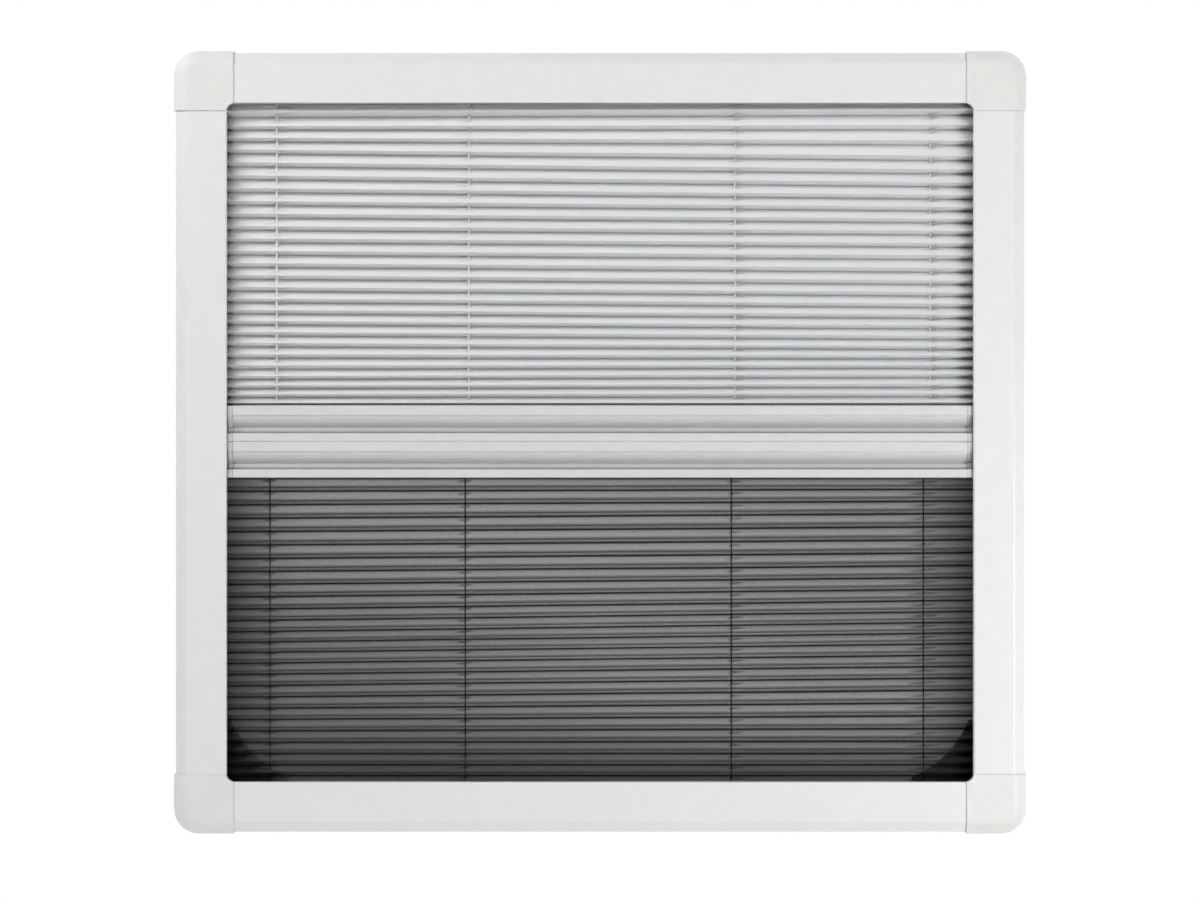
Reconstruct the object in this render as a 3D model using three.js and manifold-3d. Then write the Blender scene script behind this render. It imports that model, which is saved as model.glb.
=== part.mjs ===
// Pleated day and night cassette blind for a window in a vehicle wall.
// A blackout cloth hangs from the head, an insect screen stands on the sill, and
// each ends on a grip rail. The rails slide in the side channels and stay where
// they are left, because four tension cords cross over inside them.
//
// Everything is drawn in the front view, in millimetres: x to the right, y up and
// z towards the room, with the back plane at z = 0. The last lines stand it up, so
// that +Z is up and the room lies towards -Y.

import * as THREE from 'three';
import { mergeVertices } from 'three/addons/utils/BufferGeometryUtils.js';
import Module from 'manifold-3d';

// Frame: one extrusion for all four sides
const frameWidth = 733;
const frameHeight = 673;
const frameDepth = 28;
const faceWidth = 44; // from the outer edge to the opening
const frameWall = 1.6;
const bevelWidth = 9; // outer bevel, across the face
const bevelDrop = 3;
const lipDepth = 4; // front lip of the channel that guides rails and cloth
const lipRadius = 1.7;
const chamberWidth = 22.4; // hollow that takes the corner connectors
const chamberWall = 1.9; // its floor and its roof
const flangeWidth = 40; // back wall, from the outer edge

// Corners
const capBridge = 6; // from the opening's edge to the cap's seams
const capProud = 1.4; // the cap stands this much outside the profiles
const cornerRadius = 20;
const legLength = 30; // connector leg inside a profile
const connectorWall = 2.4;
const connectorRoof = 3;
const fixingInset = 13.4; // fixing hole, from both outer edges
const fixingRadius = 2.3;
const fixingHeadRadius = 5;
const fixingFloor = 4; // seat of the fixing screw's head, above the back plane
const fixingBossWall = 2;
const gussetReach = 50; // along the opening's edges
const gussetThickness = 1.5;
const gussetDipShare = 0.3; // how far the curved edge is drawn to the corner
const rivetInset = 33; // from both outer edges
const rivetRadius = 1.6;
const rivetHeadRadius = 3;
const rivetHeadHeight = 1;

// Grip rails: one extrusion for both
const railHeight = 31;
const railDepth = 19;
const railBack = 4.4; // back face of the rails, above the back plane
const railWall = 1.5;
const railEndGap = 4.5; // from the rail's end to the opening's edge
const railMeet = 0.6; // height of the joint between the rails, above mid height
const railEdge = 0.7; // small chamfers of the front edges
const topFlange = 8.2;
const bottomFlange = 7.3;
const brinkDepth = 1.2; // shallow step under the top flange
const brinkHeight = 2.6;
const roofDepth = 1.6; // the finger groove's curved roof starts this deep
const roofHeight = 7.2;
const roofTilt = 18; // degrees, the roof's slope where it starts
const roofEndTilt = 56; // and where it meets the crease
const grooveDepth = 7.4; // in the crease at the back of the groove
const creaseHeight = 0.9;
const ribDepth = 5.2; // crown of the rounded rib under the crease
const ribRise = 1.4; // the rib stands this far out of the groove's back
const ledgeEdge = 0.5; // rounding of the ledge that a fingertip pulls on
const rearChamber = 8.6; // hollow in which the cords run
const rearChamberWall = 2; // its floor and its roof
const stripPocketWidth = 4.7;
const stripPocketHeight = 4.4;
const stripMouth = 1.4;
const glideTongue = 12; // end glide inside the rail
const glideCollar = 3.9;
const glideShoeInset = 2.4; // the shoe is this much smaller than the rail all round
const glideShoeRadius = 3.6;

// Cloths
const panelWidth = 14; // from fold to fold
const clothThickness = 0.4;
const clothTuck = 8; // each edge runs this far into the side channel
const blackoutPleats = 27;
const screenPleats = 26;
const headDrop = 5.4; // from the seat of the head strip down to the first pleat
const sillRise = 12.1; // from the seat of the sill strip up to the last pleat
const foldDroop = 1.2; // front folds hang a little below the middle of a pleat
const blackoutSagShare = 0.125; // upper pleats hang wider than the lower ones
const screenSagShare = 0.09;
const clothSlack = 0.6; // thickness of the jaw slots that take a cloth's ends
const stripBase = 2;
const stripJaw = 1.4;
const stripJawHeight = 10.7;
const railStripWall = 1.2;

// Cords
const cordRadius = 0.5;
const cordInset = 7; // cord plane, from the back face of the rails
const cordPlaneStep = 1.4; // between the four planes in which the cords run
const outerCordInset = 38.2; // from the opening's edge
const outerCordStagger = 3.2;
const innerCordShare = 0.359; // of half the opening
const innerCordStagger = 1.5;
const cordBend = 4; // where a cord turns inside a rail
const cordHoleRadius = 1.1;
const clothHoleRadius = 1.9; // corners of the punched holes
const guideMargin = 3;
const guidePlate = 1.2;
const anchorRadius = 2.2;
const anchorLength = 8;
const tensionerLength = 12;
const anchorBore = 0.9;
const anchorBoreDepth = 5;
const anchorStud = 1.4; // stud pressed into a hole of the strip
const anchorRib = 0.5; // depth of the grooves round the barrel
const anchorGrooves = 1;
const tensionerGrooves = 3;

// Shared by all pieces
const clearance = 0.3;
const overrun = 2; // how far a cutting solid runs past what it cuts
const weld = 0.0001;
const cordSides = 8;
const bendSteps = 4;
const holeSides = 6;
const clothHoleSides = 3;
const roundSides = 16;
const arcSteps = 6;
const edgeSteps = 3;

// Worked out from the sizes above
const openingWidth = frameWidth - 2 * faceWidth;
const openingHeight = frameHeight - 2 * faceWidth;
const capReach = faceWidth + capBridge; // from the frame's outer corner to the cap's seams
const webFace = 2 * frameWall + chamberWidth; // channel side of the chamber's web
const railFront = railBack + railDepth;
const railLength = openingWidth - 2 * railEndGap;
const cordPlane = railBack + cordInset;
const clothWidth = openingWidth + 2 * clothTuck;
const screenRailTop = railMeet - clearance / 2;
const blackoutRailFoot = railMeet + clearance / 2;
const screenRailFoot = screenRailTop - railHeight;
const blackoutRailTop = blackoutRailFoot + railHeight;
const stripSeat = webFace + clearance + stripBase; // jaws start here, from the outer edge
const blackoutTop = frameHeight / 2 - stripSeat - headDrop;
const screenBottom = -(frameHeight / 2 - stripSeat - sillRise);
const meanPitch = (blackoutTop - blackoutRailTop) / blackoutPleats;
const foldDepth = Math.sqrt(panelWidth ** 2 - (meanPitch / 2) ** 2);
const tailPlane = cordPlane + foldDepth / 2; // where the cloths' ends are held
const railMiddle = railHeight / 2;

const wasm = await Module();
wasm.setup();

const powderCoat = new THREE.MeshStandardMaterial({ color: 0xe4e4e4, roughness: 0.42, metalness: 0 });
const capPlastic = new THREE.MeshStandardMaterial({ color: 0xe6e3e0, roughness: 0.5, metalness: 0 });
const whitePlastic = new THREE.MeshStandardMaterial({ color: 0xd8d8d4, roughness: 0.6, metalness: 0 });
const darkPlastic = new THREE.MeshStandardMaterial({ color: 0x2c2c2e, roughness: 0.6, metalness: 0 });
const glidePlastic = new THREE.MeshStandardMaterial({ color: 0xb9beb8, roughness: 0.55, metalness: 0 });
const blackoutCloth = new THREE.MeshStandardMaterial({ color: 0xc9cbce, roughness: 0.6, metalness: 0.15 });
const screenMesh = new THREE.MeshStandardMaterial({ color: 0x3a3a3b, roughness: 0.85, metalness: 0 });
const lightBraid = new THREE.MeshStandardMaterial({ color: 0xd6d6d6, roughness: 0.8, metalness: 0 });
const darkBraid = new THREE.MeshStandardMaterial({ color: 0x1c1c1d, roughness: 0.8, metalness: 0 });
const steel = new THREE.MeshStandardMaterial({ color: 0xa8aaac, roughness: 0.35, metalness: 1 });

// Solids: joined and cut bodies, and the geometry that comes back
function solidOf(geometry) {
  const bare = geometry.clone();
  bare.deleteAttribute('normal');
  bare.deleteAttribute('uv');
  const merged = mergeVertices(bare, weld);
  return new wasm.Manifold(new wasm.Mesh({
    numProp: 3,
    vertProperties: new Float32Array(merged.attributes.position.array),
    triVerts: new Uint32Array(merged.index.array),
  }));
}

function geometryOf(solid) {
  const mesh = solid.getMesh();
  const geometry = new THREE.BufferGeometry();
  geometry.setAttribute('position', new THREE.BufferAttribute(new Float32Array(mesh.vertProperties), 3));
  geometry.setIndex(new THREE.BufferAttribute(new Uint32Array(mesh.triVerts), 1));
  return geometry;
}

function joined(...geometries) {
  return geometryOf(geometries.map(solidOf).reduce((whole, next) => whole.add(next)));
}

function cut(geometry, ...tools) {
  return geometryOf(tools.map(solidOf).reduce((whole, tool) => whole.subtract(tool), solidOf(geometry)));
}

function shared(first, second) {
  return geometryOf(solidOf(first).intersect(solidOf(second)));
}

// Forms
function outline(points) {
  const corners = points.map(([x, y]) => new THREE.Vector2(x, y));
  return new THREE.Shape(THREE.ShapeUtils.isClockWise(corners) ? corners.reverse() : corners);
}

// A bar along x, centred, whose section is drawn as (up, towards the room)
function bar(section, length) {
  const settings = { depth: length, bevelEnabled: false, curveSegments: edgeSteps };
  const geometry = new THREE.ExtrudeGeometry(section, settings);
  const up = new THREE.Vector3(0, 1, 0);
  const front = new THREE.Vector3(0, 0, 1);
  const along = new THREE.Vector3(1, 0, 0);
  geometry.applyMatrix4(new THREE.Matrix4().makeBasis(up, front, along));
  return geometry.translate(-length / 2, 0, 0);
}

// A plate drawn in the front view, between two heights above the back plane
function plate(shape, low, high) {
  const settings = { depth: high - low, bevelEnabled: false, curveSegments: arcSteps };
  return new THREE.ExtrudeGeometry(shape, settings).translate(0, 0, low);
}

// A closed body through outlines of equal point counts, from the lowest to the highest
function loft(rings) {
  const count = rings[0].points.length;
  const positions = rings.flatMap((ring) => ring.points.flatMap((point) => [point.x, point.y, ring.level]));
  const faces = [];
  for (let ring = 0; ring + 1 < rings.length; ring += 1) {
    for (let point = 0; point < count; point += 1) {
      const here = ring * count + point;
      const next = ring * count + ((point + 1) % count);
      faces.push(here, next, next + count, here, next + count, here + count);
    }
  }
  const last = (rings.length - 1) * count;
  for (const [a, b, c] of THREE.ShapeUtils.triangulateShape(rings[0].points, [])) {
    faces.push(a, c, b);
  }
  for (const [a, b, c] of THREE.ShapeUtils.triangulateShape(rings.at(-1).points, [])) {
    faces.push(last + a, last + b, last + c);
  }
  const geometry = new THREE.BufferGeometry();
  geometry.setAttribute('position', new THREE.Float32BufferAttribute(positions, 3));
  geometry.setIndex(faces);
  return geometry;
}

// A round post towards the room, between two heights above the back plane
function post(x, y, radius, low, high, sides = roundSides) {
  const geometry = new THREE.CylinderGeometry(radius, radius, high - low, sides);
  return geometry.rotateX(Math.PI / 2).translate(x, y, (low + high) / 2);
}

// An upright hole or punch through rails and cloths
function upright(x, z, radius, foot, top, sides = holeSides) {
  return new THREE.CylinderGeometry(radius, radius, top - foot, sides).translate(x, (foot + top) / 2, z);
}

// A cord of constant radius through points of one plane of constant z
function cordAlong(points, z) {
  const count = points.length;
  const positions = [];
  for (let at = 0; at < count; at += 1) {
    const before = points[Math.max(at - 1, 0)];
    const after = points[Math.min(at + 1, count - 1)];
    const arriving = points[at].clone().sub(before).normalize();
    const leaving = after.clone().sub(points[at]).normalize();
    const ahead = arriving.clone().add(leaving).normalize();
    const spread = 1 / Math.max(ahead.dot(arriving), ahead.dot(leaving));
    const side = new THREE.Vector2(-ahead.y, ahead.x);
    for (let corner = 0; corner < cordSides; corner += 1) {
      const angle = (2 * Math.PI * corner) / cordSides;
      const out = cordRadius * spread * Math.cos(angle);
      const place = points[at].clone().addScaledVector(side, out);
      positions.push(place.x, place.y, z + cordRadius * Math.sin(angle));
    }
  }
  const faces = [];
  for (let at = 0; at + 1 < count; at += 1) {
    for (let corner = 0; corner < cordSides; corner += 1) {
      const here = at * cordSides + corner;
      const next = at * cordSides + ((corner + 1) % cordSides);
      faces.push(here, next, next + cordSides, here, next + cordSides, here + cordSides);
    }
  }
  const end = (count - 1) * cordSides;
  for (let corner = 1; corner + 1 < cordSides; corner += 1) {
    faces.push(0, corner + 1, corner, end, end + corner, end + corner + 1);
  }
  const geometry = new THREE.BufferGeometry();
  geometry.setAttribute('position', new THREE.Float32BufferAttribute(positions, 3));
  geometry.setIndex(faces);
  return geometry;
}

// Frame profiles, drawn from the outer edge inwards and from the back plane up
function frameSection() {
  const lip = faceWidth - frameWall;
  const section = new THREE.Shape();
  section.moveTo(0, 0);
  section.lineTo(flangeWidth, 0);
  section.lineTo(flangeWidth, frameWall);
  section.lineTo(webFace, frameWall);
  section.lineTo(webFace, frameDepth - frameWall);
  section.lineTo(lip, frameDepth - frameWall);
  section.lineTo(lip, frameDepth - lipDepth);
  section.lineTo(faceWidth, frameDepth - lipDepth);
  section.lineTo(faceWidth, frameDepth - lipRadius);
  section.absarc(faceWidth - lipRadius, frameDepth - lipRadius, lipRadius, 0, Math.PI / 2);
  section.lineTo(bevelWidth, frameDepth);
  section.lineTo(0, frameDepth - bevelDrop);
  section.closePath();
  section.holes.push(chamberSection());
  return section;
}

function chamberSection() {
  const roof = frameDepth - chamberWall;
  return outline([
    [frameWall, chamberWall],
    [frameWall + chamberWidth, chamberWall],
    [frameWall + chamberWidth, roof],
    [bevelWidth, roof],
    [frameWall, roof - bevelDrop],
  ]);
}

// Strip in the head and in the sill, whose jaws hold the end of a cloth
function frameStripSection() {
  const base = webFace + clearance;
  const near = gussetTop() + clearance;
  const far = frameDepth - frameWall - clearance;
  const tip = stripSeat + stripJawHeight;
  const slot = clothThickness / 2 + clothSlack / 2;
  return outline([
    [base, near],
    [stripSeat, near],
    [stripSeat, tailPlane - slot - stripJaw],
    [tip, tailPlane - slot - stripJaw / 2],
    [tip, tailPlane - slot],
    [stripSeat, tailPlane - slot],
    [stripSeat, tailPlane + slot],
    [tip, tailPlane + slot],
    [tip, tailPlane + slot + stripJaw / 2],
    [stripSeat, tailPlane + slot + stripJaw],
    [stripSeat, far],
    [base, far],
  ]);
}

function frameStrip(cordPlaces) {
  const strip = bar(frameStripSection(), openingWidth);
  const holes = cordPlaces.map(({ x, z }) => (
    upright(x, z, anchorStud + clearance, webFace, stripSeat + overrun)
  ));
  return cut(strip, ...holes);
}

// Corner pieces, drawn from the frame's outer corner: x and y along its two edges
function cornerRing(grow, inner) {
  const radius = cornerRadius + grow;
  const round = Array.from({ length: arcSteps + 1 }, (_, step) => {
    const angle = Math.PI * (1 + step / (2 * arcSteps));
    return new THREE.Vector2(
      cornerRadius + radius * Math.cos(angle),
      cornerRadius + radius * Math.sin(angle),
    );
  });
  const reach = inner[0].x;
  return [new THREE.Vector2(reach, -grow), ...inner, new THREE.Vector2(-grow, reach), ...round];
}

function cornerBody(grow, inner, foot) {
  return loft([
    { level: foot, points: cornerRing(grow, inner) },
    { level: frameDepth + grow - bevelDrop, points: cornerRing(grow, inner) },
    { level: frameDepth + grow, points: cornerRing(grow - bevelWidth, inner) },
  ]);
}

// Inner side of a cap: its seams meet in a hollow quarter round
function capInside() {
  return Array.from({ length: arcSteps + 1 }, (_, step) => {
    const angle = -Math.PI / 2 - (Math.PI / 2) * (step / arcSteps);
    return new THREE.Vector2(
      capReach + capBridge * Math.cos(angle),
      capReach + capBridge * Math.sin(angle),
    );
  });
}

function cornerCap() {
  const far = capReach + overrun;
  const outer = cornerBody(capProud, capInside(), 0);
  const hollow = cornerBody(clearance, [new THREE.Vector2(far, far)], -overrun);
  const near = faceWidth + clearance;
  const square = outline([[near, near], [far, near], [far, far], [near, far]]);
  const bridge = shared(outer, plate(square, frameDepth - lipDepth, frameDepth + capProud));
  return joined(cut(outer, hollow), bridge);
}

// An angle with two arms of one width, between its outer sides and its arms' ends
function angleInside(width, reach) {
  return [[reach, width], [width, width], [width, reach]].map(([x, y]) => new THREE.Vector2(x, y));
}

function connectorLegs() {
  const near = frameWall + clearance;
  const inner = angleInside(frameWall + chamberWidth - clearance, faceWidth + legLength);
  const roof = frameDepth - chamberWall - clearance;
  return loft([
    { level: chamberWall + clearance, points: cornerRing(-near, inner) },
    { level: roof - bevelDrop, points: cornerRing(-near, inner) },
    { level: roof, points: cornerRing(-bevelWidth, inner) },
  ]);
}

function cornerConnector() {
  const shoulder = faceWidth - clearance;
  const block = cornerBody(0, angleInside(webFace, shoulder), 0);
  const earNear = webFace - frameWall;
  const ear = outline([[earNear, earNear], [shoulder, earNear], [shoulder, shoulder], [earNear, shoulder]]);
  const near = frameWall + clearance + connectorWall;
  const far = frameWall + chamberWidth - clearance - connectorWall;
  const core = new THREE.Shape(cornerRing(-near, angleInside(far, faceWidth + legLength - connectorWall)));
  const coreRoof = frameDepth - chamberWall - clearance - bevelDrop - connectorRoof;
  const bossRadius = fixingHeadRadius + fixingBossWall;
  const hollow = cut(
    plate(core, -overrun, coreRoof),
    post(fixingInset, fixingInset, bossRadius, -2 * overrun, frameDepth),
  );
  return cut(
    joined(block, connectorLegs(), plate(ear, 0, frameWall)),
    hollow,
    post(fixingInset, fixingInset, fixingRadius, -overrun, frameDepth),
    post(fixingInset, fixingInset, fixingHeadRadius, fixingFloor, frameDepth + overrun),
    post(rivetInset, rivetInset, rivetRadius + clearance, -overrun, frameWall + overrun),
  );
}

function gussetTop() {
  return frameWall + clearance + gussetThickness;
}

function cornerGusset() {
  const near = webFace + clearance;
  const end = faceWidth + gussetReach;
  const dip = faceWidth + gussetReach * gussetDipShare;
  const shape = new THREE.Shape();
  shape.moveTo(near, near);
  shape.lineTo(end, near);
  shape.lineTo(end, faceWidth);
  shape.quadraticCurveTo(dip, dip, faceWidth, end);
  shape.lineTo(near, end);
  shape.closePath();
  const body = plate(shape, frameWall + clearance, gussetTop());
  const hole = post(rivetInset, rivetInset, rivetRadius + clearance, 0, frameDepth);
  return cut(body, hole);
}

function gussetRivet() {
  const seat = gussetTop() + clearance;
  const profile = [
    [0, clearance],
    [rivetRadius, clearance],
    [rivetRadius, seat],
    [rivetHeadRadius, seat],
    [rivetHeadRadius * Math.cos(Math.PI / 4), seat + rivetHeadHeight * Math.sin(Math.PI / 4)],
    [0, seat + rivetHeadHeight],
  ];
  const geometry = new THREE.LatheGeometry(profile.map(([x, y]) => new THREE.Vector2(x, y)), roundSides);
  return geometry.rotateX(Math.PI / 2).translate(rivetInset, rivetInset, 0);
}

// Roof of the finger groove, from its start under the top flange back to the crease
function grooveRoof(top) {
  const [first, last] = [roofTilt, roofEndTilt].map(THREE.MathUtils.degToRad);
  const radius = roofHeight / (Math.sin(last) - Math.sin(first));
  return Array.from({ length: arcSteps + 1 }, (_, step) => {
    const tilt = first + (last - first) * (step / arcSteps);
    return [
      top - radius * (Math.sin(tilt) - Math.sin(first)),
      roofDepth + radius * (Math.cos(first) - Math.cos(tilt)),
    ];
  });
}

// Rounded rib on the groove's back wall, from the ledge up to the crease
function grooveRib(foot, top) {
  return Array.from({ length: arcSteps + 1 }, (_, step) => {
    const turn = Math.PI * (step / arcSteps);
    const height = foot + ((top - foot) * (1 - Math.cos(turn))) / 2;
    return [height, ribDepth + ribRise - ribRise * Math.sin(turn)];
  });
}

// Grip rail, drawn upwards from its foot and from the back plane up
function railFace() {
  const at = (height, depth) => [height, railFront - depth];
  const roofTop = railHeight - topFlange - brinkHeight;
  const creaseTop = roofTop - roofHeight;
  const creaseFoot = creaseTop - creaseHeight;
  return [
    at(0, railEdge),
    at(railEdge, 0),
    at(bottomFlange - ledgeEdge, 0),
    at(bottomFlange, ledgeEdge),
    ...grooveRib(bottomFlange, creaseFoot).map((point) => at(...point)),
    at(creaseFoot, grooveDepth),
    at(creaseTop, grooveDepth),
    ...grooveRoof(roofTop).reverse().map((point) => at(...point)),
    at(roofTop, brinkDepth),
    at(railHeight - topFlange, brinkDepth),
    at(railHeight - topFlange, 0),
    at(railHeight - railEdge, 0),
    at(railHeight, railEdge),
  ];
}

// The pocket behind a mouth in the rail's top or foot, from its room side to its back
function stripPocket(edge, inwards) {
  const mouth = edge + inwards * railWall;
  const floor = mouth + inwards * stripPocketHeight;
  return [
    [edge, tailPlane + stripMouth / 2],
    [mouth, tailPlane + stripMouth / 2],
    [mouth, tailPlane + stripPocketWidth / 2],
    [floor, tailPlane + stripPocketWidth / 2],
    [floor, tailPlane - stripPocketWidth / 2],
    [mouth, tailPlane - stripPocketWidth / 2],
    [mouth, tailPlane - stripMouth / 2],
    [edge, tailPlane - stripMouth / 2],
  ];
}

function rearChamberSection(inset) {
  const near = railBack + railWall + inset;
  const far = railBack + railWall + rearChamber - inset;
  const foot = rearChamberWall + inset;
  const top = railHeight - rearChamberWall - inset;
  return outline([[foot, near], [foot, far], [top, far], [top, near]]);
}

function gripRail(holesAbove, holesBelow) {
  const section = outline([
    ...railFace(),
    ...stripPocket(railHeight, -1),
    [railHeight, railBack],
    [0, railBack],
    ...stripPocket(0, 1).reverse(),
  ]);
  section.holes.push(rearChamberSection(0));
  const above = holesAbove.map(({ x, z }) => (
    upright(x, z, cordHoleRadius, railHeight - rearChamberWall - overrun, railHeight + overrun)
  ));
  const below = holesBelow.map(({ x, z }) => (
    upright(x, z, cordHoleRadius, -overrun, rearChamberWall + overrun)
  ));
  return cut(bar(section, railLength), ...above, ...below);
}

// Strip in a rail's pocket, drawn upwards from the pocket's floor
function railStripSection() {
  const width = stripPocketWidth - 2 * clearance;
  const height = stripPocketHeight - 2 * clearance;
  const slot = clothThickness / 2 + clothSlack / 2;
  return outline([
    [0, -width / 2],
    [height, -width / 2],
    [height, -slot],
    [railStripWall, -slot],
    [railStripWall, slot],
    [height, slot],
    [height, width / 2],
    [0, width / 2],
  ]);
}

function roundedSection(foot, top, back, front, radius) {
  const section = new THREE.Shape();
  section.absarc(top - radius, front - radius, radius, 0, Math.PI / 2);
  section.absarc(foot + radius, front - radius, radius, Math.PI / 2, Math.PI);
  section.absarc(foot + radius, back + radius, radius, Math.PI, (3 * Math.PI) / 2);
  section.absarc(top - radius, back + radius, radius, (3 * Math.PI) / 2, 2 * Math.PI);
  return section;
}

// End glide at the right end of a rail: tongue, collar and the shoe in the channel
function railGlide() {
  const railEnd = railLength / 2;
  const collarStart = railEnd + clearance;
  const collarEnd = collarStart + glideCollar;
  const shoeEnd = frameWidth / 2 - webFace - clearance;
  const tongueStart = railEnd - glideTongue;
  const placed = (section, from, to) => bar(section, to - from).translate((from + to) / 2, 0, 0);
  const collar = outline([...railFace(), [railHeight, railBack], [0, railBack]]);
  const shoe = roundedSection(
    glideShoeInset,
    railHeight - glideShoeInset,
    railBack + glideShoeInset,
    railFront - grooveDepth - clearance,
    glideShoeRadius,
  );
  return joined(
    placed(rearChamberSection(clearance), tongueStart, collarEnd),
    placed(collar, collarStart, collarEnd),
    placed(shoe, collarStart, shoeEnd),
  );
}

// Cloths, drawn as a path of folds and given their thickness
function pleatLevels(top, bottom, count, sagShare) {
  return Array.from({ length: count + 1 }, (_, index) => {
    const share = index / count;
    return top + (bottom - top) * (share + sagShare * share * (1 - share));
  });
}

function foldPath(levels, topTail, bottomTail) {
  const front = cordPlane + foldDepth / 2;
  const back = cordPlane - foldDepth / 2;
  const path = [[topTail, tailPlane]];
  for (let pleat = 0; pleat + 1 < levels.length; pleat += 1) {
    if (pleat > 0) {
      path.push([levels[pleat], back]);
    }
    path.push([(levels[pleat] + levels[pleat + 1]) / 2 - foldDroop, front]);
  }
  path.push([bottomTail, tailPlane]);
  return path.map(([height, depth]) => new THREE.Vector2(height, depth));
}

function ribbonSection(path) {
  const normal = (from, to) => {
    const ahead = to.clone().sub(from).normalize();
    return new THREE.Vector2(-ahead.y, ahead.x);
  };
  const offsets = path.map((point, at) => {
    const arriving = normal(path[Math.max(at - 1, 0)], path[Math.max(at, 1)]);
    const leaving = normal(path[Math.min(at, path.length - 2)], path[Math.min(at + 1, path.length - 1)]);
    const miter = arriving.clone().add(leaving);
    return miter.multiplyScalar(clothThickness / 2 / (1 + arriving.dot(leaving)));
  });
  const left = path.map((point, at) => point.clone().add(offsets[at]));
  const right = path.map((point, at) => point.clone().sub(offsets[at]));
  return new THREE.Shape([...left, ...right.reverse()]);
}

// The tails are cut back to the rail's length, so that they clear the end glides
function pleatedCloth(levels, topTail, bottomTail, punches) {
  const path = foldPath(levels, topTail, bottomTail);
  const cloth = bar(ribbonSection(path), clothWidth);
  const tailWidth = railLength - 2 * clearance;
  const firstFold = path[1].x + clothThickness;
  const lastFold = path.at(-2).x - clothThickness;
  const trims = [-1, 1].flatMap((side) => {
    const middle = side * (tailWidth / 2 + clothWidth / 2);
    return [[firstFold, topTail + overrun], [bottomTail - overrun, lastFold]].map(([foot, top]) => {
      const trim = new THREE.BoxGeometry(clothWidth, top - foot, frameDepth);
      return trim.translate(middle, (foot + top) / 2, frameDepth / 2);
    });
  });
  const holes = punches.map(({ x, z }) => (
    upright(x, z, clothHoleRadius, lastFold, firstFold, clothHoleSides)
  ));
  return cut(cloth, ...trims, ...holes);
}

// Cords: where each hangs above and below the rail in which it crosses over
function cordPlan() {
  const outer = openingWidth / 2 - outerCordInset;
  const inner = (openingWidth / 2) * innerCordShare;
  const starts = [
    { name: 'cord_outer_left', start: -(outer - outerCordStagger), crosses: 'blackout' },
    { name: 'cord_inner_left', start: -(inner - innerCordStagger), crosses: 'screen' },
    { name: 'cord_inner_right', start: inner + innerCordStagger, crosses: 'screen' },
    { name: 'cord_outer_right', start: outer + outerCordStagger, crosses: 'blackout' },
  ];
  const middle = (starts.length - 1) / 2;
  return starts.map((cord, index) => ({ ...cord, z: cordPlane + (middle - index) * cordPlaneStep }));
}

function crossingPoints(start) {
  const side = -Math.sign(start);
  const quarter = (x, y, from) => Array.from({ length: bendSteps + 1 }, (_, step) => {
    const angle = from + (Math.PI / 2) * (step / bendSteps);
    return new THREE.Vector2(x + side * cordBend * Math.cos(angle), y + cordBend * Math.sin(angle));
  });
  return [
    new THREE.Vector2(start, railHeight),
    ...quarter(start + side * cordBend, railMiddle + cordBend, Math.PI),
    ...quarter(-start - side * cordBend, railMiddle - cordBend, 0).reverse(),
    new THREE.Vector2(-start, clearance),
  ];
}

// Turning guide at one side of a rail: a plate with a post in each cord's bend
function cordGuide(entering, leaving) {
  const side = Math.sign(entering.start);
  const radius = cordBend - cordRadius - clearance;
  const enterX = entering.start - side * cordBend;
  const leaveX = -leaving.start - side * cordBend;
  const left = Math.min(enterX, leaveX) - cordBend - guideMargin;
  const right = Math.max(enterX, leaveX) + cordBend + guideMargin;
  const foot = rearChamberWall + clearance;
  const top = railHeight - rearChamberWall - clearance;
  const low = railBack + railWall + clearance;
  const high = railBack + railWall + rearChamber - clearance;
  const base = outline([[left, foot], [right, foot], [right, top], [left, top]]);
  return joined(
    plate(base, low, low + guidePlate),
    post(enterX, railMiddle + cordBend, radius, low, high),
    post(leaveX, railMiddle - cordBend, radius, low, high),
  );
}

// Anchor and tensioner, drawn upwards from the mouth that the cord enters
function anchorBody(length, grooves) {
  const groove = length / (2 * grooves + 1);
  const barrel = Array.from({ length: grooves }, (_, index) => {
    const foot = groove * (2 * index + 1);
    return [
      [anchorRadius, foot],
      [anchorRadius - anchorRib, foot],
      [anchorRadius - anchorRib, foot + groove],
      [anchorRadius, foot + groove],
    ];
  }).flat();
  const profile = [
    [0, anchorBoreDepth],
    [anchorBore, anchorBoreDepth],
    [anchorBore, 0],
    [anchorRadius, 0],
    ...barrel,
    [anchorRadius, length],
    [anchorStud, length],
    [anchorStud, length + stripBase],
    [0, length + stripBase],
  ];
  return new THREE.LatheGeometry(profile.map(([x, y]) => new THREE.Vector2(x, y)), cordSides);
}

// Assembly
const blind = new THREE.Group();

function add(parent, name, geometry, material) {
  const mesh = new THREE.Mesh(geometry, material.clone());
  mesh.name = name;
  parent.add(mesh);
  return mesh;
}

function turned(parent, x, y, quarters) {
  const group = new THREE.Group();
  group.position.set(x, y, 0);
  group.rotation.z = (Math.PI / 2) * quarters;
  parent.add(group);
  return group;
}

function addFrame() {
  for (const [side, quarters] of Object.entries({ top: 2, bottom: 0, left: 3, right: 1 })) {
    const level = quarters % 2 === 0;
    const length = level ? openingWidth : openingHeight;
    const place = turned(blind, 0, 0, quarters);
    const profile = add(place, `profile_${side}`, bar(frameSection(), length), powderCoat);
    profile.position.y = -(level ? frameHeight : frameWidth) / 2;
  }
}

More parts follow.
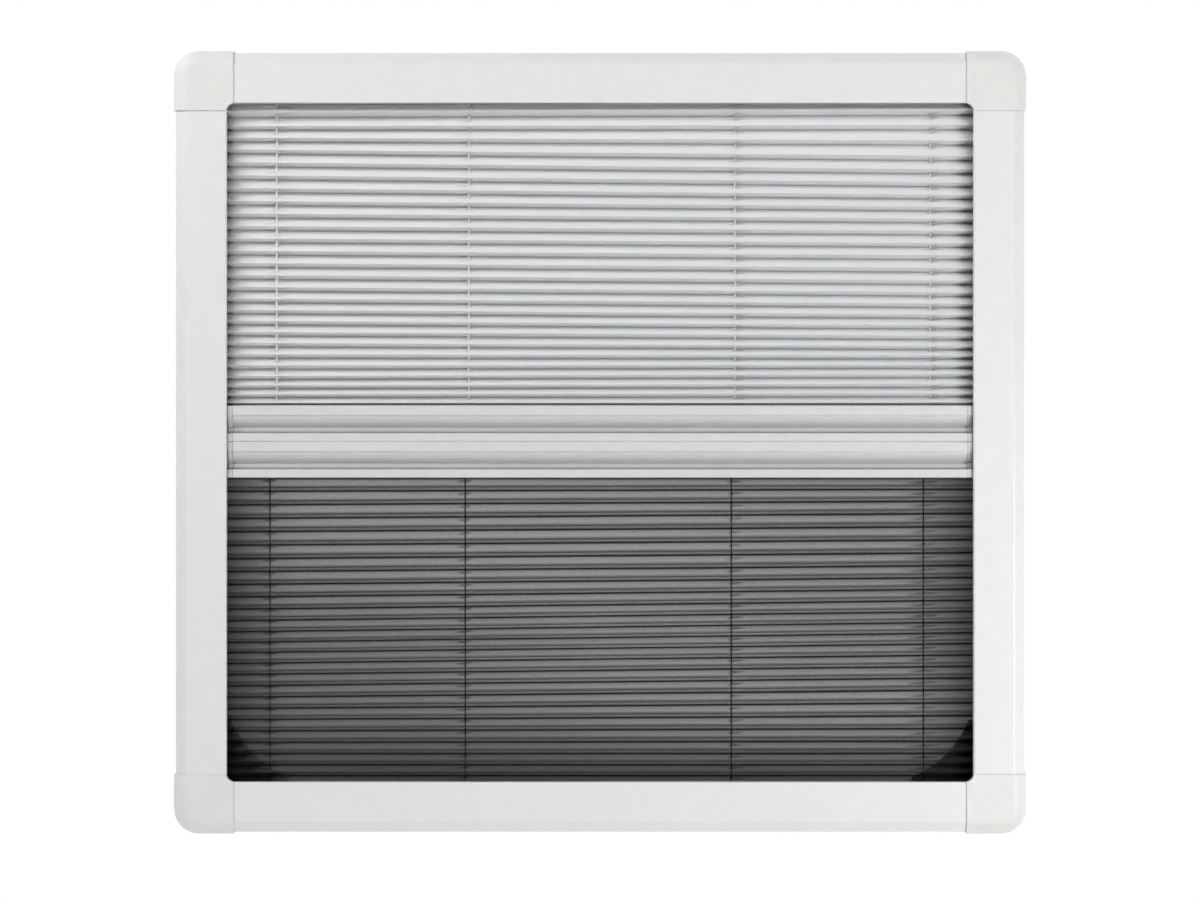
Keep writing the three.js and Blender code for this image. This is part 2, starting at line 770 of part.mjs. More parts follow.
function addCorners() {
  const corners = [
    ['bottom_left', -1, -1, 0],
    ['bottom_right', 1, -1, 1],
    ['top_right', 1, 1, 2],
    ['top_left', -1, 1, 3],
  ];
  for (const [place, x, y, quarters] of corners) {
    const corner = turned(blind, (x * frameWidth) / 2, (y * frameHeight) / 2, quarters);
    add(corner, `corner_cap_${place}`, cornerCap(), capPlastic);
    add(corner, `corner_connector_${place}`, cornerConnector(), whitePlastic);
    add(corner, `corner_gusset_${place}`, cornerGusset(), darkPlastic);
    add(corner, `gusset_rivet_${place}`, gussetRivet(), steel);
  }
}

// Seen from either end of the frame, the cords stand at the same places
function addStrips(cords) {
  const holes = cords.map(({ start, z }) => ({ x: -start, z }));
  for (const [name, quarters] of Object.entries({ head: 2, sill: 0 })) {
    const strip = add(turned(blind, 0, 0, quarters), `${name}_strip`, frameStrip(holes), whitePlastic);
    strip.position.y = -frameHeight / 2;
  }
}

function addRail(name, foot, cords) {
  const rail = new THREE.Group();
  rail.position.y = foot;
  blind.add(rail);
  const crossing = cords.filter((cord) => cord.crosses === name);
  const above = cords.map((cord) => ({ ...cord, x: hangsAt(cord, name, true) }));
  const below = cords.map((cord) => ({ ...cord, x: hangsAt(cord, name, false) }));
  add(rail, `${name}_rail`, gripRail(above, below), powderCoat);
  add(rail, `${name}_rail_glide_right`, railGlide(), glidePlastic);
  add(rail, `${name}_rail_glide_left`, mirrored(railGlide()), glidePlastic);
  for (const cord of crossing) {
    const crossover = cordAlong(crossingPoints(cord.start), cord.z);
    add(rail, `${cord.name}_crossing`, crossover, darkBraid);
  }
  const [left, right] = crossing;
  add(rail, `${name}_rail_cord_guide_left`, cordGuide(left, right), whitePlastic);
  add(rail, `${name}_rail_cord_guide_right`, cordGuide(right, left), whitePlastic);
  const stripBar = bar(railStripSection(), railLength - 2 * clearance);
  const strip = add(rail, `${name}_rail_strip`, stripBar, whitePlastic);
  const pocketFloor = railWall + stripPocketHeight - clearance;
  strip.position.z = tailPlane;
  strip.position.y = name === 'blackout' ? railHeight - pocketFloor : pocketFloor;
  strip.rotation.x = name === 'blackout' ? 0 : Math.PI;
}

// Side of a rail on which a cord hangs: it changes sides only in the rail it crosses
function hangsAt(cord, railName, above) {
  const order = ['blackout', 'screen'];
  const reached = order.indexOf(railName) - (above ? 1 : 0);
  return reached >= order.indexOf(cord.crosses) ? -cord.start : cord.start;
}

function mirrored(geometry) {
  const other = geometry.clone().scale(-1, 1, 1);
  const faces = other.index.array;
  for (let at = 0; at < faces.length; at += 3) {
    [faces[at], faces[at + 1]] = [faces[at + 1], faces[at]];
  }
  return other;
}

function addCloths(cords) {
  const tailRoom = stripPocketHeight - railStripWall - clearance;
  const tailInFrame = frameHeight / 2 - stripSeat - clearance;
  const blackoutPunches = cords.map((cord) => ({ ...cord, x: cord.start }));
  const screenPunches = cords.map((cord) => ({ ...cord, x: -cord.start }));
  const blackout = pleatedCloth(
    pleatLevels(blackoutTop, blackoutRailTop, blackoutPleats, blackoutSagShare),
    tailInFrame,
    blackoutRailTop - railWall - tailRoom + clearance,
    blackoutPunches,
  );
  const screen = pleatedCloth(
    pleatLevels(screenRailFoot, screenBottom, screenPleats, screenSagShare),
    screenRailFoot + railWall + tailRoom - clearance,
    -tailInFrame,
    screenPunches,
  );
  add(blind, 'blackout_cloth', blackout, blackoutCloth);
  add(blind, 'insect_screen', screen, screenMesh);
}

function hangingCord(x, top, foot, z) {
  return cordAlong([new THREE.Vector2(x, top), new THREE.Vector2(x, foot)], z);
}

function addCords(cords) {
  const mouth = frameHeight / 2 - stripSeat - clearance;
  const headEnd = mouth - anchorLength + anchorBoreDepth - clearance;
  const sillEnd = -mouth + tensionerLength - anchorBoreDepth + clearance;
  for (const cord of cords) {
    const railTop = cord.crosses === 'blackout' ? blackoutRailTop : screenRailTop;
    const railFoot = cord.crosses === 'blackout' ? blackoutRailFoot : screenRailFoot;
    const upper = hangingCord(cord.start, headEnd, railTop + clearance, cord.z);
    add(blind, `${cord.name}_upper`, upper, lightBraid);
    const lower = hangingCord(-cord.start, railFoot, sillEnd, cord.z);
    add(blind, `${cord.name}_lower`, lower, darkBraid);
    const anchorGeometry = anchorBody(anchorLength, anchorGrooves);
    const anchor = add(blind, `${cord.name}_anchor`, anchorGeometry, whitePlastic);
    anchor.position.set(cord.start, mouth - anchorLength, cord.z);
    const tensionerGeometry = anchorBody(tensionerLength, tensionerGrooves);
    const tensioner = add(blind, `${cord.name}_tensioner`, tensionerGeometry, whitePlastic);
    tensioner.position.set(-cord.start, -mouth + tensionerLength, cord.z);
    tensioner.rotation.x = Math.PI;
  }
}

const cords = cordPlan();
addFrame();
addCorners();
addStrips(cords);
addRail('blackout', blackoutRailFoot, cords);
addRail('screen', screenRailFoot, cords);
addCloths(cords);
addCords(cords);

blind.rotation.x = Math.PI / 2;

const part = new THREE.Group();
part.add(blind);

export default part;
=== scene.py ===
# Pleated day and night cassette blind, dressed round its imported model.
# Metres, +Z up, the room towards -Y, the origin at the middle of the window opening.

import math

import bmesh
import bpy
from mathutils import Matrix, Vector, noise


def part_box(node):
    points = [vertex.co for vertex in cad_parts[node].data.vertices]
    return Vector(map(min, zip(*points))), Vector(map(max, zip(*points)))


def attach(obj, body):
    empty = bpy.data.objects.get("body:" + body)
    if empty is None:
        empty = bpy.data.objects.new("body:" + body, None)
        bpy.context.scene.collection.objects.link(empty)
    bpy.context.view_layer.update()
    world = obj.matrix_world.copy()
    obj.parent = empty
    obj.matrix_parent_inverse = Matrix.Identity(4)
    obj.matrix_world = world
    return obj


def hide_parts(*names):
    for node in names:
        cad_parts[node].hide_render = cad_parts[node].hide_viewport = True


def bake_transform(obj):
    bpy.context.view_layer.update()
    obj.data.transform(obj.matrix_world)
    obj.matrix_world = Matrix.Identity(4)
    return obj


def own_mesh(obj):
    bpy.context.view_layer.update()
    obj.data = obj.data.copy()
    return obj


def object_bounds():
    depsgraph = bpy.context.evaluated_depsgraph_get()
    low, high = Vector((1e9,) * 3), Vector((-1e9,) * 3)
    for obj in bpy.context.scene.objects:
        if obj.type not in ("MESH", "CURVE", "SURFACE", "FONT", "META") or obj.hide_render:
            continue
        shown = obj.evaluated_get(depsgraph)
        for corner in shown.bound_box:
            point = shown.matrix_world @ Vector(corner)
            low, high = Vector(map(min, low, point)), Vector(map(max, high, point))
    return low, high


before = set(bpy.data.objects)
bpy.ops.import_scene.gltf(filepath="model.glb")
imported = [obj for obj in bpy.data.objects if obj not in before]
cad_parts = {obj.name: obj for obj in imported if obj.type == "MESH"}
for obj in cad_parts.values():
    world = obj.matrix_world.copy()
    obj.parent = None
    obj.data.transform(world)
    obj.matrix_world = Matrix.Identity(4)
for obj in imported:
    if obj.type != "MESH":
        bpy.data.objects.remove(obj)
cadLow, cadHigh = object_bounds()
scene = bpy.context.scene
scene.view_settings.view_transform = "Standard"
scene.cycles.use_denoising = True
print("frame loaded:", len(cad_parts), "nodes")


# Node helpers: a value goes straight onto its socket, and another node's output is linked to it
def feed(tree, socket, value):
    if isinstance(value, bpy.types.NodeSocket):
        tree.links.new(value, socket)
    else:
        socket.default_value = value


def mathNode(tree, operation, *values):
    node = tree.nodes.new("ShaderNodeMath")
    node.operation = operation
    for socket, value in zip(node.inputs, values):
        feed(tree, socket, value)
    return node.outputs["Value"]


def ranged(tree, value, toRange=(0.0, 1.0), fromRange=(0.0, 1.0), smooth=False):
    node = tree.nodes.new("ShaderNodeMapRange")
    if smooth:
        node.interpolation_type = "SMOOTHSTEP"
    for name, limit in zip(("To Min", "To Max", "From Min", "From Max"), (*toRange, *fromRange)):
        feed(tree, node.inputs[name], limit)
    tree.links.new(value, node.inputs["Value"])
    return node.outputs["Result"]


def noiseNode(tree, vector, scale, detail, roughness=0.5):
    node = tree.nodes.new("ShaderNodeTexNoise")
    node.inputs["Detail"].default_value = detail
    node.inputs["Roughness"].default_value = roughness
    feed(tree, node.inputs["Scale"], scale)
    tree.links.new(vector, node.inputs["Vector"])
    return node.outputs["Fac"]


def objectPlace(tree):
    return tree.nodes.new("ShaderNodeTexCoord").outputs["Object"]


def splitAxes(tree, vector):
    split = tree.nodes.new("ShaderNodeSeparateXYZ")
    tree.links.new(vector, split.inputs["Vector"])
    return split.outputs


# Camera: straight on, with the middle of the picture a little below the blind's middle
cameraPlan = {
    "distance": 2.0,        # from the front of the frame
    "seenWidth": 1.035,     # width of the picture at the front of the frame
    "aimBelow": 0.0066,
    "sensor": 36.0,
    "clipEnd": 50,
}


def addCamera():
    data = bpy.data.cameras.new("camera")
    data.sensor_width = cameraPlan["sensor"]
    data.lens = cameraPlan["sensor"] * cameraPlan["distance"] / cameraPlan["seenWidth"]
    data.clip_end = cameraPlan["clipEnd"]
    camera = bpy.data.objects.new("camera", data)
    scene.collection.objects.link(camera)
    camera.location = (0, cadLow.y - cameraPlan["distance"], -cameraPlan["aimBelow"])
    camera.rotation_euler = (math.radians(90), 0, 0)
    scene.camera = camera


# Studio: wide soft boxes high on the left and low on the right, two behind, and a pale floor
studio = {
    "boxes": [
        # name, azimuth, elevation, distance, width, height, power
        ("softBoxLeft", -48, 32, 2.3, 1.5, 1.1, 33),
        ("softBoxRight", 48, 32, 2.3, 1.5, 1.1, 7),
        ("softBoxRightLow", 37, -13, 2.3, 0.9, 1.1, 36),
        ("softBoxRear", 205, 35, 2.6, 1.6, 1.2, 30),
        ("softBoxRearLow", 150, -8, 2.6, 1.6, 1.2, 20),
    ],
    "fill": 0.055,          # brightness of the white room round the studio
    "floorPlace": (0, -0.2, -0.8),
    "floorSize": (5.0, 3.9),
    "floorTone": (0.82, 0.82, 0.82, 1),
    "floorLift": 0.32,      # paleness added to the floor for the camera alone
    "cardTone": (0.06, 0.06, 0.06, 1),
    "cardPaintedGlow": (0.0, 0.625),   # painted glow that stands in for daylight behind the opening, from its edges to its middle
    "paintedShadowEdge": (-0.03, 0.07),  # painted shadow of the frame: how far in from the card's edge the glow rises
    "paintedShadowLean": 0.5,            # painted shade: the glow fades towards the lower left; the weight of x beside z
    "paintedShadowFade": (-0.40, -0.12),     # where along that lean it fades
    "paintedShadowLeast": 0.5,           # and down to which share
    "cardPlace": (0, 0.001, 0),     # behind the opening, just behind the frame
    "cardSize": (0.653, 0.593),
    "paperRoughness": 0.9,
}
white = (1, 1, 1, 1)


def aimed(location, target=Vector((0, 0, 0))):
    return (target - location).to_track_quat("-Z", "Y").to_euler()


def addLights():
    for name, azimuth, elevation, distance, width, height, power in studio["boxes"]:
        data = bpy.data.lights.new(name, "AREA")
        data.shape = "RECTANGLE"
        data.size = width
        data.size_y = height
        data.energy = power
        light = bpy.data.objects.new(name, data)
        scene.collection.objects.link(light)
        turn, rise = math.radians(azimuth), math.radians(elevation)
        light.location = (
            distance * math.sin(turn) * math.cos(rise),
            -distance * math.cos(turn) * math.cos(rise),
            distance * math.sin(rise),
        )
        light.rotation_euler = aimed(light.location)


def addWorld():
    world = bpy.data.worlds.new("whiteRoom")
    scene.world = world
    world.use_nodes = True
    tree = world.node_tree
    background = tree.nodes["Background"]
    background.inputs["Color"].default_value = white
    path = tree.nodes.new("ShaderNodeLightPath")
    strength = ranged(tree, path.outputs["Is Camera Ray"], (studio["fill"], 1.0))
    tree.links.new(strength, background.inputs["Strength"])


def stageMaterial(name, tone):
    material = bpy.data.materials.new(name)
    material.use_nodes = True
    shader = material.node_tree.nodes["Principled BSDF"]
    shader.inputs["Base Color"].default_value = tone
    shader.inputs["Roughness"].default_value = studio["paperRoughness"]
    return material


def stagePlane(name, size, place, material):
    bm = bmesh.new()
    bmesh.ops.create_grid(bm, x_segments=1, y_segments=1, size=0.5)
    bmesh.ops.scale(bm, vec=(*size, 1), verts=bm.verts)
    mesh = bpy.data.meshes.new(name)
    bm.to_mesh(mesh)
    bm.free()
    mesh.materials.append(material)
    plane = bpy.data.objects.new(name, mesh)
    scene.collection.objects.link(plane)
    plane.location = place
    return plane


# Painted shadow of the frame on the card: how far in from the card's edge, as a soft step from 0 to 1
def paintedShadowStep(tree, value, halfSize):
    inward = mathNode(tree, "SUBTRACT", halfSize, mathNode(tree, "ABSOLUTE", value))
    return ranged(tree, inward, fromRange=studio["paintedShadowEdge"], smooth=True)


# The card shows from the room side only, so the blind's back stays in view and lit. Its emission is painted
# light, dimmed by painted shadow at its edges and towards the lower left
def cardMaterial():
    material = stageMaterial("card", studio["cardTone"])
    tree = material.node_tree
    shader = tree.nodes["Principled BSDF"]
    place = splitAxes(tree, objectPlace(tree))
    width, height = studio["cardSize"]
    across, upward = paintedShadowStep(tree, place["X"], width / 2), paintedShadowStep(tree, place["Y"], height / 2)
    lean = mathNode(tree, "MULTIPLY_ADD", place["X"], studio["paintedShadowLean"], place["Y"])
    fade = ranged(tree, lean, (studio["paintedShadowLeast"], 1.0), studio["paintedShadowFade"], smooth=True)
    paintedGlow = mathNode(tree, "MULTIPLY", mathNode(tree, "MULTIPLY", across, upward), fade)
    tree.links.new(ranged(tree, paintedGlow, studio["cardPaintedGlow"]), shader.inputs["Emission Strength"])
    shader.inputs["Emission Color"].default_value = white
    clear = tree.nodes.new("ShaderNodeBsdfTransparent")
    mix = tree.nodes.new("ShaderNodeMixShader")
    path = tree.nodes.new("ShaderNodeLightPath")
    geometry = tree.nodes.new("ShaderNodeNewGeometry")
    front = mathNode(tree, "SUBTRACT", path.outputs["Is Camera Ray"], geometry.outputs["Backfacing"])
    tree.links.new(mathNode(tree, "MAXIMUM", front, 0.0), mix.inputs["Fac"])
    tree.links.new(clear.outputs["BSDF"], mix.inputs[1])
    tree.links.new(shader.outputs["BSDF"], mix.inputs[2])
    tree.links.new(mix.outputs["Shader"], tree.nodes["Material Output"].inputs["Surface"])
    return material


def floorMaterial():
    material = stageMaterial("floorPaper", studio["floorTone"])
    tree = material.node_tree
    shader = tree.nodes["Principled BSDF"]
    path = tree.nodes.new("ShaderNodeLightPath")
    lift = mathNode(tree, "MULTIPLY", path.outputs["Is Camera Ray"], studio["floorLift"])
    tree.links.new(lift, shader.inputs["Emission Strength"])
    shader.inputs["Emission Color"].default_value = white
    return material


def addStage():
    stagePlane("floor", studio["floorSize"], studio["floorPlace"], floorMaterial())
    card = stagePlane("openingCard", studio["cardSize"], studio["cardPlace"], cardMaterial())
    card.rotation_euler = (math.radians(90), 0, 0)


addCamera()
addLights()
addWorld()
addStage()
print("camera, lights and stage are set")


# Shader effects that several finishes share, as node groups
def groupTree(name, inputs, outputs):
    tree = bpy.data.node_groups.new(name, "ShaderNodeTree")
    for socket, kind, value in inputs:
        made = tree.interface.new_socket(socket, in_out="INPUT", socket_type=kind)
        made.default_value = value
    for socket, kind in outputs:
        tree.interface.new_socket(socket, in_out="OUTPUT", socket_type=kind)
    return tree, tree.nodes.new("NodeGroupInput"), tree.nodes.new("NodeGroupOutput")


# Fine skin of a coat or a moulding, and a slow drift of its tone
def makeSkinGroup():
    tree, given, put = groupTree(
        "coatSkin",
        [("Grain Size", "NodeSocketFloat", 0.001), ("Drift Size", "NodeSocketFloat", 0.25)],
        [("Height", "NodeSocketFloat"), ("Speck", "NodeSocketFloat"), ("Drift", "NodeSocketFloat")],
    )
    place = objectPlace(tree)
    finer = 2.7     # the specks are this much finer than the grain
    grainScale = mathNode(tree, "DIVIDE", 1.0, given.outputs["Grain Size"])
    driftScale = mathNode(tree, "DIVIDE", 1.0, given.outputs["Drift Size"])
    height = noiseNode(tree, place, grainScale, detail=2.0)
    speck = noiseNode(tree, place, mathNode(tree, "MULTIPLY", grainScale, finer), detail=1.0)
    drift = noiseNode(tree, place, driftScale, detail=3.0, roughness=0.6)
    tree.links.new(height, put.inputs["Height"])
    tree.links.new(speck, put.inputs["Speck"])
    tree.links.new(drift, put.inputs["Drift"])
    return tree


# Rubbed edges: the rounded edges carry the attribute rubbed, and a noise breaks it up
def makeRubGroup():
    tree, given, put = groupTree(
        "edgeRub",
        [("Amount", "NodeSocketFloat", 0.5), ("Patch Size", "NodeSocketFloat", 0.012)],
        [("Mask", "NodeSocketFloat")],
    )
    edge = tree.nodes.new("ShaderNodeAttribute")
    edge.attribute_name = "rubbed"
    patchScale = mathNode(tree, "DIVIDE", 1.0, given.outputs["Patch Size"])
    patch = noiseNode(tree, objectPlace(tree), patchScale, detail=3.0, roughness=0.65)
    patchEdge = (0.42, 0.68)    # where in the noise a rubbed patch starts and is whole
    broken = mathNode(tree, "MULTIPLY", edge.outputs["Fac"], ranged(tree, patch, fromRange=patchEdge))
    mask = mathNode(tree, "MULTIPLY", broken, given.outputs["Amount"])
    tree.links.new(mask, put.inputs["Mask"])
    return tree


# Dust lies in patches on what faces up, the more the more level it is
def makeDustGroup():
    tree, given, put = groupTree(
        "settledDust",
        [("Amount", "NodeSocketFloat", 0.3), ("Patch Size", "NodeSocketFloat", 0.03)],
        [("Mask", "NodeSocketFloat")],
    )
    geometry = tree.nodes.new("ShaderNodeNewGeometry")
    upward = mathNode(tree, "MAXIMUM", splitAxes(tree, geometry.outputs["Normal"])["Z"], 0.0)
    levelPower = 3.0        # the higher, the less dust on a slope
    gather = mathNode(tree, "POWER", upward, levelPower)
    patchScale = mathNode(tree, "DIVIDE", 1.0, given.outputs["Patch Size"])
    patch = noiseNode(tree, objectPlace(tree), patchScale, detail=5.0, roughness=0.7)
    lying = mathNode(tree, "MULTIPLY", gather, patch)
    tree.links.new(mathNode(tree, "MULTIPLY", lying, given.outputs["Amount"]), put.inputs["Mask"])
    return tree


# Mask for painted shade and light: which way a pleat's panel faces, 0 for those turned down, 1 for those
# turned up and to the light
def makePaintedPanelShadeGroup():
    tree, given, put = groupTree(
        "paintedPanelShade",
        [("Softness", "NodeSocketFloat", 0.2)],
        [("Mask", "NodeSocketFloat")],
    )
    geometry = tree.nodes.new("ShaderNodeNewGeometry")
    turned = splitAxes(tree, geometry.outputs["Normal"])["Z"]
    softness = given.outputs["Softness"]
    span = (mathNode(tree, "MULTIPLY", softness, -1.0), softness)
    tree.links.new(ranged(tree, turned, fromRange=span), put.inputs["Mask"])
    return tree


# Painted shade in a groove, darker by the depth behind the blind's front and broken up by a noise
def makePaintedGrooveShadeGroup():
    tree, given, put = groupTree(
        "paintedGrooveShade",
        [
            ("Near", "NodeSocketFloat", -0.022), ("Far", "NodeSocketFloat", -0.017),
            ("Amount", "NodeSocketFloat", 0.2),
        ],
        [("Mask", "NodeSocketFloat")],
    )
    place = objectPlace(tree)
    span = (given.outputs["Near"], given.outputs["Far"])
    depth = ranged(tree, splitAxes(tree, place)["Y"], fromRange=span)
    patchScale, patchDepth, patchFloor = 60.0, 0.3, 0.85
    patch = noiseNode(tree, place, patchScale, detail=3.0)
    patch = mathNode(tree, "MULTIPLY_ADD", patch, patchDepth, patchFloor)
    lying = mathNode(tree, "MULTIPLY", depth, patch)
    tree.links.new(mathNode(tree, "MULTIPLY", lying, given.outputs["Amount"]), put.inputs["Mask"])
    return tree


# Plain weave on a piece's own UV map, in metres: threads over and under each other
def makeWeaveGroup():
    tree, given, put = groupTree(
        "threadWeave",
        [("Pitch", "NodeSocketFloat", 0.0003), ("Slub", "NodeSocketFloat", 0.3)],
        [("Height", "NodeSocketFloat"), ("Thread", "NodeSocketFloat")],
    )
    uv = tree.nodes.new("ShaderNodeUVMap").outputs["UV"]
    place = splitAxes(tree, uv)
    turn = mathNode(tree, "DIVIDE", math.pi, given.outputs["Pitch"])
    across = mathNode(tree, "SINE", mathNode(tree, "MULTIPLY", place["X"], turn))
    along = mathNode(tree, "SINE", mathNode(tree, "MULTIPLY", place["Y"], turn))
    over = mathNode(tree, "MULTIPLY", across, along)
    warp = mathNode(tree, "ABSOLUTE", across)
    weft = mathNode(tree, "ABSOLUTE", along)
    pick = mathNode(tree, "GREATER_THAN", over, 0.0)
    mix = tree.nodes.new("ShaderNodeMix")
    tree.links.new(pick, mix.inputs["Factor"])
    tree.links.new(warp, mix.inputs["A"])
    tree.links.new(weft, mix.inputs["B"])
    slubScale = (60, 2400, 1)   # turns of the noise a metre: thick and thin threads run across
    stretched = tree.nodes.new("ShaderNodeMapping")
    stretched.inputs["Scale"].default_value = slubScale
    tree.links.new(uv, stretched.inputs["Vector"])
    slub = noiseNode(tree, stretched.outputs["Vector"], scale=1.0, detail=2.0)
    thick = mathNode(tree, "MULTIPLY", slub, given.outputs["Slub"])
    tree.links.new(mathNode(tree, "ADD", mix.outputs["Result"], thick), put.inputs["Height"])
    tree.links.new(slub, put.inputs["Thread"])
    return tree


# Open insect mesh on a piece's own UV map: 1 on a wire, 0 in a gap. The level wires are round,
# so they close the gaps more on a panel that is seen at a slant
def makeGridGroup():
    tree, given, put = groupTree(
        "openMesh",
        [
            ("Pitch", "NodeSocketFloat", 0.0012), ("Wire Share", "NodeSocketFloat", 0.25),
            ("Slant", "NodeSocketFloat", 1.0),
        ],
        [("Cover", "NodeSocketFloat"), ("Height", "NodeSocketFloat")],
    )
    uv = tree.nodes.new("ShaderNodeUVMap").outputs["UV"]
    place = splitAxes(tree, uv)
    upright = mathNode(tree, "MULTIPLY", given.outputs["Wire Share"], 0.5)
    level = mathNode(tree, "MULTIPLY", upright, given.outputs["Slant"])
    sides = []
    for axis, reach in (("X", upright), ("Y", level)):
        cells = mathNode(tree, "DIVIDE", place[axis], given.outputs["Pitch"])
        off = mathNode(tree, "ABSOLUTE", mathNode(tree, "SUBTRACT", mathNode(tree, "FRACT", cells), 0.5))
        sides.append(mathNode(tree, "DIVIDE", off, reach))
    nearest = mathNode(tree, "MINIMUM", *sides)
    tree.links.new(mathNode(tree, "LESS_THAN", nearest, 1.0), put.inputs["Cover"])
    wireTop = mathNode(tree, "SUBTRACT", 1.0, mathNode(tree, "MULTIPLY", nearest, nearest))
    tree.links.new(mathNode(tree, "MAXIMUM", wireTop, 0.0), put.inputs["Height"])
    return tree


# Painted shade along the folds of a cloth: the attribute foldCount rises by one from fold to fold, and its
# odd folds are the ridges towards the room, which get less of it
def makePaintedFoldShadeGroup():
    tree, given, put = groupTree(
        "paintedFoldShade",
        [("Share", "NodeSocketFloat", 0.08), ("Front Ease", "NodeSocketFloat", 0.4)],
        [("Mask", "NodeSocketFloat")],
    )
    count = tree.nodes.new("ShaderNodeAttribute")
    count.attribute_name = "foldCount"
    within = mathNode(tree, "FRACT", count.outputs["Fac"])
    nearest = mathNode(tree, "MINIMUM", within, mathNode(tree, "SUBTRACT", 1.0, within))
    closeness = mathNode(tree, "SUBTRACT", 1.0, mathNode(tree, "DIVIDE", nearest, given.outputs["Share"]))
    isFront = mathNode(tree, "MODULO", mathNode(tree, "ROUND", count.outputs["Fac"]), 2.0)
    eased = mathNode(tree, "MULTIPLY", isFront, given.outputs["Front Ease"])
    strength = mathNode(tree, "SUBTRACT", 1.0, eased)
    mask = mathNode(tree, "MULTIPLY", mathNode(tree, "MAXIMUM", closeness, 0.0), strength)
    tree.links.new(mask, put.inputs["Mask"])
    return tree


# Braid of a cord on its own UV map: u runs once round it, v along it in metres
def makeBraidGroup():
    tree, given, put = groupTree(
        "cordBraid",
        [("Pitch", "NodeSocketFloat", 0.0012), ("Strands", "NodeSocketFloat", 4.0)],
        [("Height", "NodeSocketFloat"), ("Shade", "NodeSocketFloat")],
    )
    uv = tree.nodes.new("ShaderNodeUVMap").outputs["UV"]
    place = splitAxes(tree, uv)
    rise = mathNode(tree, "DIVIDE", place["Y"], given.outputs["Pitch"])
    around = mathNode(tree, "MULTIPLY", place["X"], given.outputs["Strands"])
    waves = []
    for operation in ("ADD", "SUBTRACT"):
        lean = mathNode(tree, "MULTIPLY", mathNode(tree, operation, rise, around), math.pi)
        waves.append(mathNode(tree, "ABSOLUTE", mathNode(tree, "SINE", lean)))
    height = mathNode(tree, "MAXIMUM", *waves)
    tree.links.new(height, put.inputs["Height"])
    tree.links.new(mathNode(tree, "MULTIPLY", *waves), put.inputs["Shade"])
    return tree


skinGroup = makeSkinGroup()
rubGroup = makeRubGroup()
dustGroup = makeDustGroup()
paintedPanelShadeGroup = makePaintedPanelShadeGroup()
paintedGrooveShadeGroup = makePaintedGrooveShadeGroup()
weaveGroup = makeWeaveGroup()
gridGroup = makeGridGroup()
paintedFoldShadeGroup = makePaintedFoldShadeGroup()
braidGroup = makeBraidGroup()


# Finishes
def startMaterial(name, roughness):
    material = bpy.data.materials.new(name)
    material.use_nodes = True
    tree = material.node_tree
    shader = tree.nodes["Principled BSDF"]
    shader.inputs["Roughness"].default_value = roughness
    return material, tree, shader


def placed(tree, group, **values):
    node = tree.nodes.new("ShaderNodeGroup")
    node.node_tree = group
    for name, value in values.items():
        node.inputs[name.replace("_", " ")].default_value = value
    return node


# The mix node's sixth and seventh inputs and its second output are its colours, counted from 0
def blended(tree, mask, first, second):
    mix = tree.nodes.new("ShaderNodeMix")
    mix.data_type = "RGBA"
    for socket, value in ((mix.inputs["Factor"], mask), (mix.inputs[6], first), (mix.inputs[7], second)):
        feed(tree, socket, (*value, 1) if isinstance(value, tuple) else value)
    return mix.outputs[2]


def bumped(tree, height, strength, distance):
    bump = tree.nodes.new("ShaderNodeBump")
    bump.inputs["Strength"].default_value = strength
    bump.inputs["Distance"].default_value = distance
    tree.links.new(height, bump.inputs["Height"])
    return bump.outputs["Normal"]


# Coats and mouldings: skin, drifting tone, rubbed edges and a breath of dust, and on the rails painted shade
# in the groove
def solidFinish(name, look):
    look = {**plainLook, **look}
    material, tree, shader = startMaterial(name, look["roughness"])
    skin = placed(tree, skinGroup, Grain_Size=look["grain"], Drift_Size=look["drift"])
    rub = placed(tree, rubGroup, Amount=look["rub"])
    dust = placed(tree, dustGroup, Amount=look["dust"])
    deep = tuple(c * (1 - look["vary"]) for c in look["tone"])
    colour = blended(tree, skin.outputs["Drift"], deep, look["tone"])
    colour = blended(tree, rub.outputs["Mask"], colour, look["rubbedTone"])
    colour = blended(tree, dust.outputs["Mask"], colour, look["dustTone"])
    # painted shade darkens a groove by its depth
    if "grime" in look:
        near, far = look["grimeDepths"]
        grime = placed(tree, paintedGrooveShadeGroup, Near=near, Far=far, Amount=look["grime"])
        colour = blended(tree, grime.outputs["Mask"], colour, look["grimeTone"])
    tree.links.new(colour, shader.inputs["Base Color"])
    spread = look["roughnessSpread"]
    span = (look["roughness"] - spread, look["roughness"] + spread)
    tree.links.new(ranged(tree, skin.outputs["Speck"], span), shader.inputs["Roughness"])
    normal = bumped(tree, skin.outputs["Height"], look["bump"], look["bumpDepth"])
    tree.links.new(normal, shader.inputs["Normal"])
    shader.inputs["Metallic"].default_value = look["metallic"]
    shader.inputs["Coat Weight"].default_value = look["coat"]
    shader.inputs["Coat Roughness"].default_value = look["coatRoughness"]
    return material


